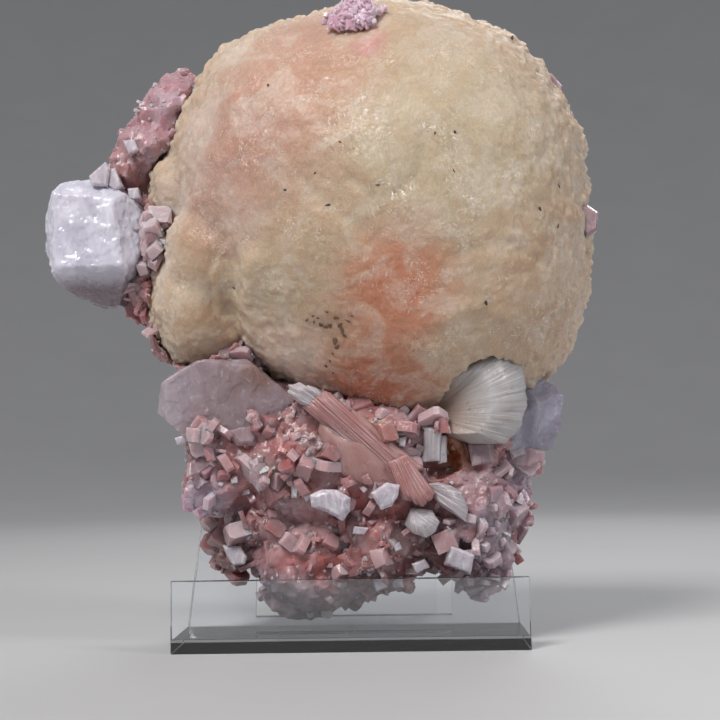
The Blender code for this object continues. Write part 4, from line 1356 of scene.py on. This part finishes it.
# %% The fans
FANS = (
    ("stilbite_sheaf_blades", white_silk, "stilbite_white", ["stilbite_sheaf"], (
        dict(root=((431, 421), (436, 405)),
             rim=((441, 434), (470, 444), (503, 444), (518, 428), (526, 405), (523, 375),
                  (510, 347), (495, 348), (472, 357), (452, 369), (439, 388)),
             depth=-4.2, rise=7.6, blades=70, seed=41, rough=0.02, thick=4.5, grid=(40, 4),
             ragged=0.012),
        dict(root=((431, 423), (438, 412)),
             rim=((448, 437), (480, 445), (506, 444), (520, 428), (526, 408), (520, 385)),
             depth=-3.0, rise=6.0, blades=26, seed=42, rough=0.08, thick=2.5),
    )),
    ("stilbite_curved_blade_blades", short_silk, "stilbite_white", ["stilbite_curved_blade"], (
        dict(root=((428, 489), (426, 484)),
             rim=((438, 504), (452, 513), (466, 522), (468, 508), (462, 492), (450, 485),
                  (438, 482)),
             depth=-9.2, rise=3.0, blades=16, seed=43, rough=0.04, thick=1.8),
    )),
    ("stilbite_fan_small_blades", short_silk, "stilbite_white", ["stilbite_fan_small"], (
        dict(root=((411, 508),),
             rim=((404, 524), (414, 534), (427, 538), (435, 532), (440, 522), (432, 510)),
             depth=-10.2, rise=1.6, blades=12, seed=44, rough=0.07, thick=1.4),
    )),
    ("stilbite_upright_blade_blades", short_silk, "stilbite_white", ["stilbite_upright_blade"], (
        dict(root=((422, 462), (440, 461)), rim=((424, 425), (442, 428)), depth=-8.0, rise=1.3,
             blades=4, seed=45, rough=0.06, thick=2.2, curl=0.1),
        dict(root=((438, 464), (447, 462)), rim=((440, 434), (447, 436)), depth=-7.6, rise=0.8,
             blades=2, seed=46, rough=0.06, thick=1.6, curl=0.1),
    )),
    ("stilbite_spray_blades", pink_silk, "stilbite_salmon", ["stilbite_spray"], (
        dict(root=((400, 488), (424, 480)), rim=((300, 406), (312, 395), (328, 390)),
             depth=-10.9, rise=1.8, blades=26, seed=47, rough=0.08, thick=3.2, curl=0.15,
             grid=(90, 4)),
        dict(root=((388, 474), (408, 464)), rim=((332, 438), (320, 420), (328, 402)),
             depth=-10.6, rise=1.4, blades=14, seed=51, rough=0.07, thick=2.0, curl=0.2,
             grid=(60, 4)),
        dict(root=((388, 462), (406, 454)), rim=((402, 500), (420, 508), (438, 496)),
             depth=-12.0, rise=1.4, blades=18, seed=48, rough=0.06, thick=2.4, curl=0.2,
             ragged=0.14),
    )),
    ("stilbite_spray_tip", short_silk, "stilbite_white", [], (
        dict(root=((322, 414), (332, 402)),
             rim=((299, 404), (287, 394), (288, 385), (299, 382), (317, 388)),
             depth=-10.7, rise=2.0, blades=14, seed=50, rough=0.06, thick=2.2, curl=0.3,
             ragged=0.12),
    )),
    ("stilbite_spray_sheet", peach_silk, "stilbite_salmon", [], (
        dict(root=((322, 410), (345, 402)),
             rim=((318, 430), (326, 452), (344, 476), (372, 488), (402, 486), (424, 468)),
             depth=-9.6, rise=2.6, blades=26, seed=49, rough=0.03, thick=2.5, curl=0.5),
    )),
)
for name, material, slot, replaced, shells in FANS:
    parts = [fan_shell(name, **shape) for shape in shells]
    joined(parts, name, material, slot, *replaced)

# %% [markdown]
# A small lilac tuft of heulandite sits on top of the ball. Its solid is a lump with a few
# crystals. A remeshed copy carries many finer ones. They are planted by the same kind of
# tree as on the crust, evenly and at full size, since the tuft bristles on every side.

# %% The tuft
TUFT_VOXEL = 0.3  # mm

tuft = copy_of("heulandite_tuft")
add_modifier(tuft, "REMESH", mode="VOXEL", voxel_size=TUFT_VOXEL * MM)
applied(tuft)
for even in ("growth", "grain"):
    store(tuft.data, even, np.ones(len(tuft.data.vertices)))
tuft_finish = clear_finish("lilac_tuft", (0.66, 0.38, 0.50), (0.80, 0.62, 0.72), ROSE, 0.2, 0.0,
                           fine=2.6)
tuft_crystals = grown("tuft_crystals", tuft, planting_tree(tuft_finish), Spacing=0.55 * MM,
                      Density=3e6, Least_size=0.35 * MM, Largest_size=0.9 * MM, Lean=0.9,
                      Sink=0.1, Seed=21)
dress(tuft, "heulandite_tuft_lump", tuft_finish, "heulandite_lilac", "heulandite_tuft")
dress(tuft_crystals, "heulandite_tuft_crystals", tuft_finish, "heulandite_lilac")

# %% [markdown]
# The easel is one sheet of clear acrylic, heated and bent. Its solid is right as it is.
# Clear plastic shows by its edges, so they get a small round from a bevel, which is enough
# where every face is flat. The finish passes light plainly, with a faint haze of fine
# wiping marks in its roughness.

# %% The stand
stand = copy_of("acrylic_stand")
add_modifier(stand, "BEVEL", width=0.35 * MM, segments=3, limit_method="ANGLE",
             angle_limit=math.radians(30))
applied(stand)
acrylic = Finish("clear_acrylic", Base_Color=(0.965, 0.98, 1.0, 1), IOR=1.49,
                 Transmission_Weight=0.975)
haze = acrylic.noise(0.9, 3.0, acrylic.vector("MULTIPLY", acrylic.place, (0.25, 1.0, 1.0)))["Fac"]
rough = acrylic.eased(haze, 0.45, 0.8) * 0.08 + 0.01
dress(stand, "acrylic_easel", acrylic.wire(Roughness=rough), "clear_acrylic", "acrylic_stand")
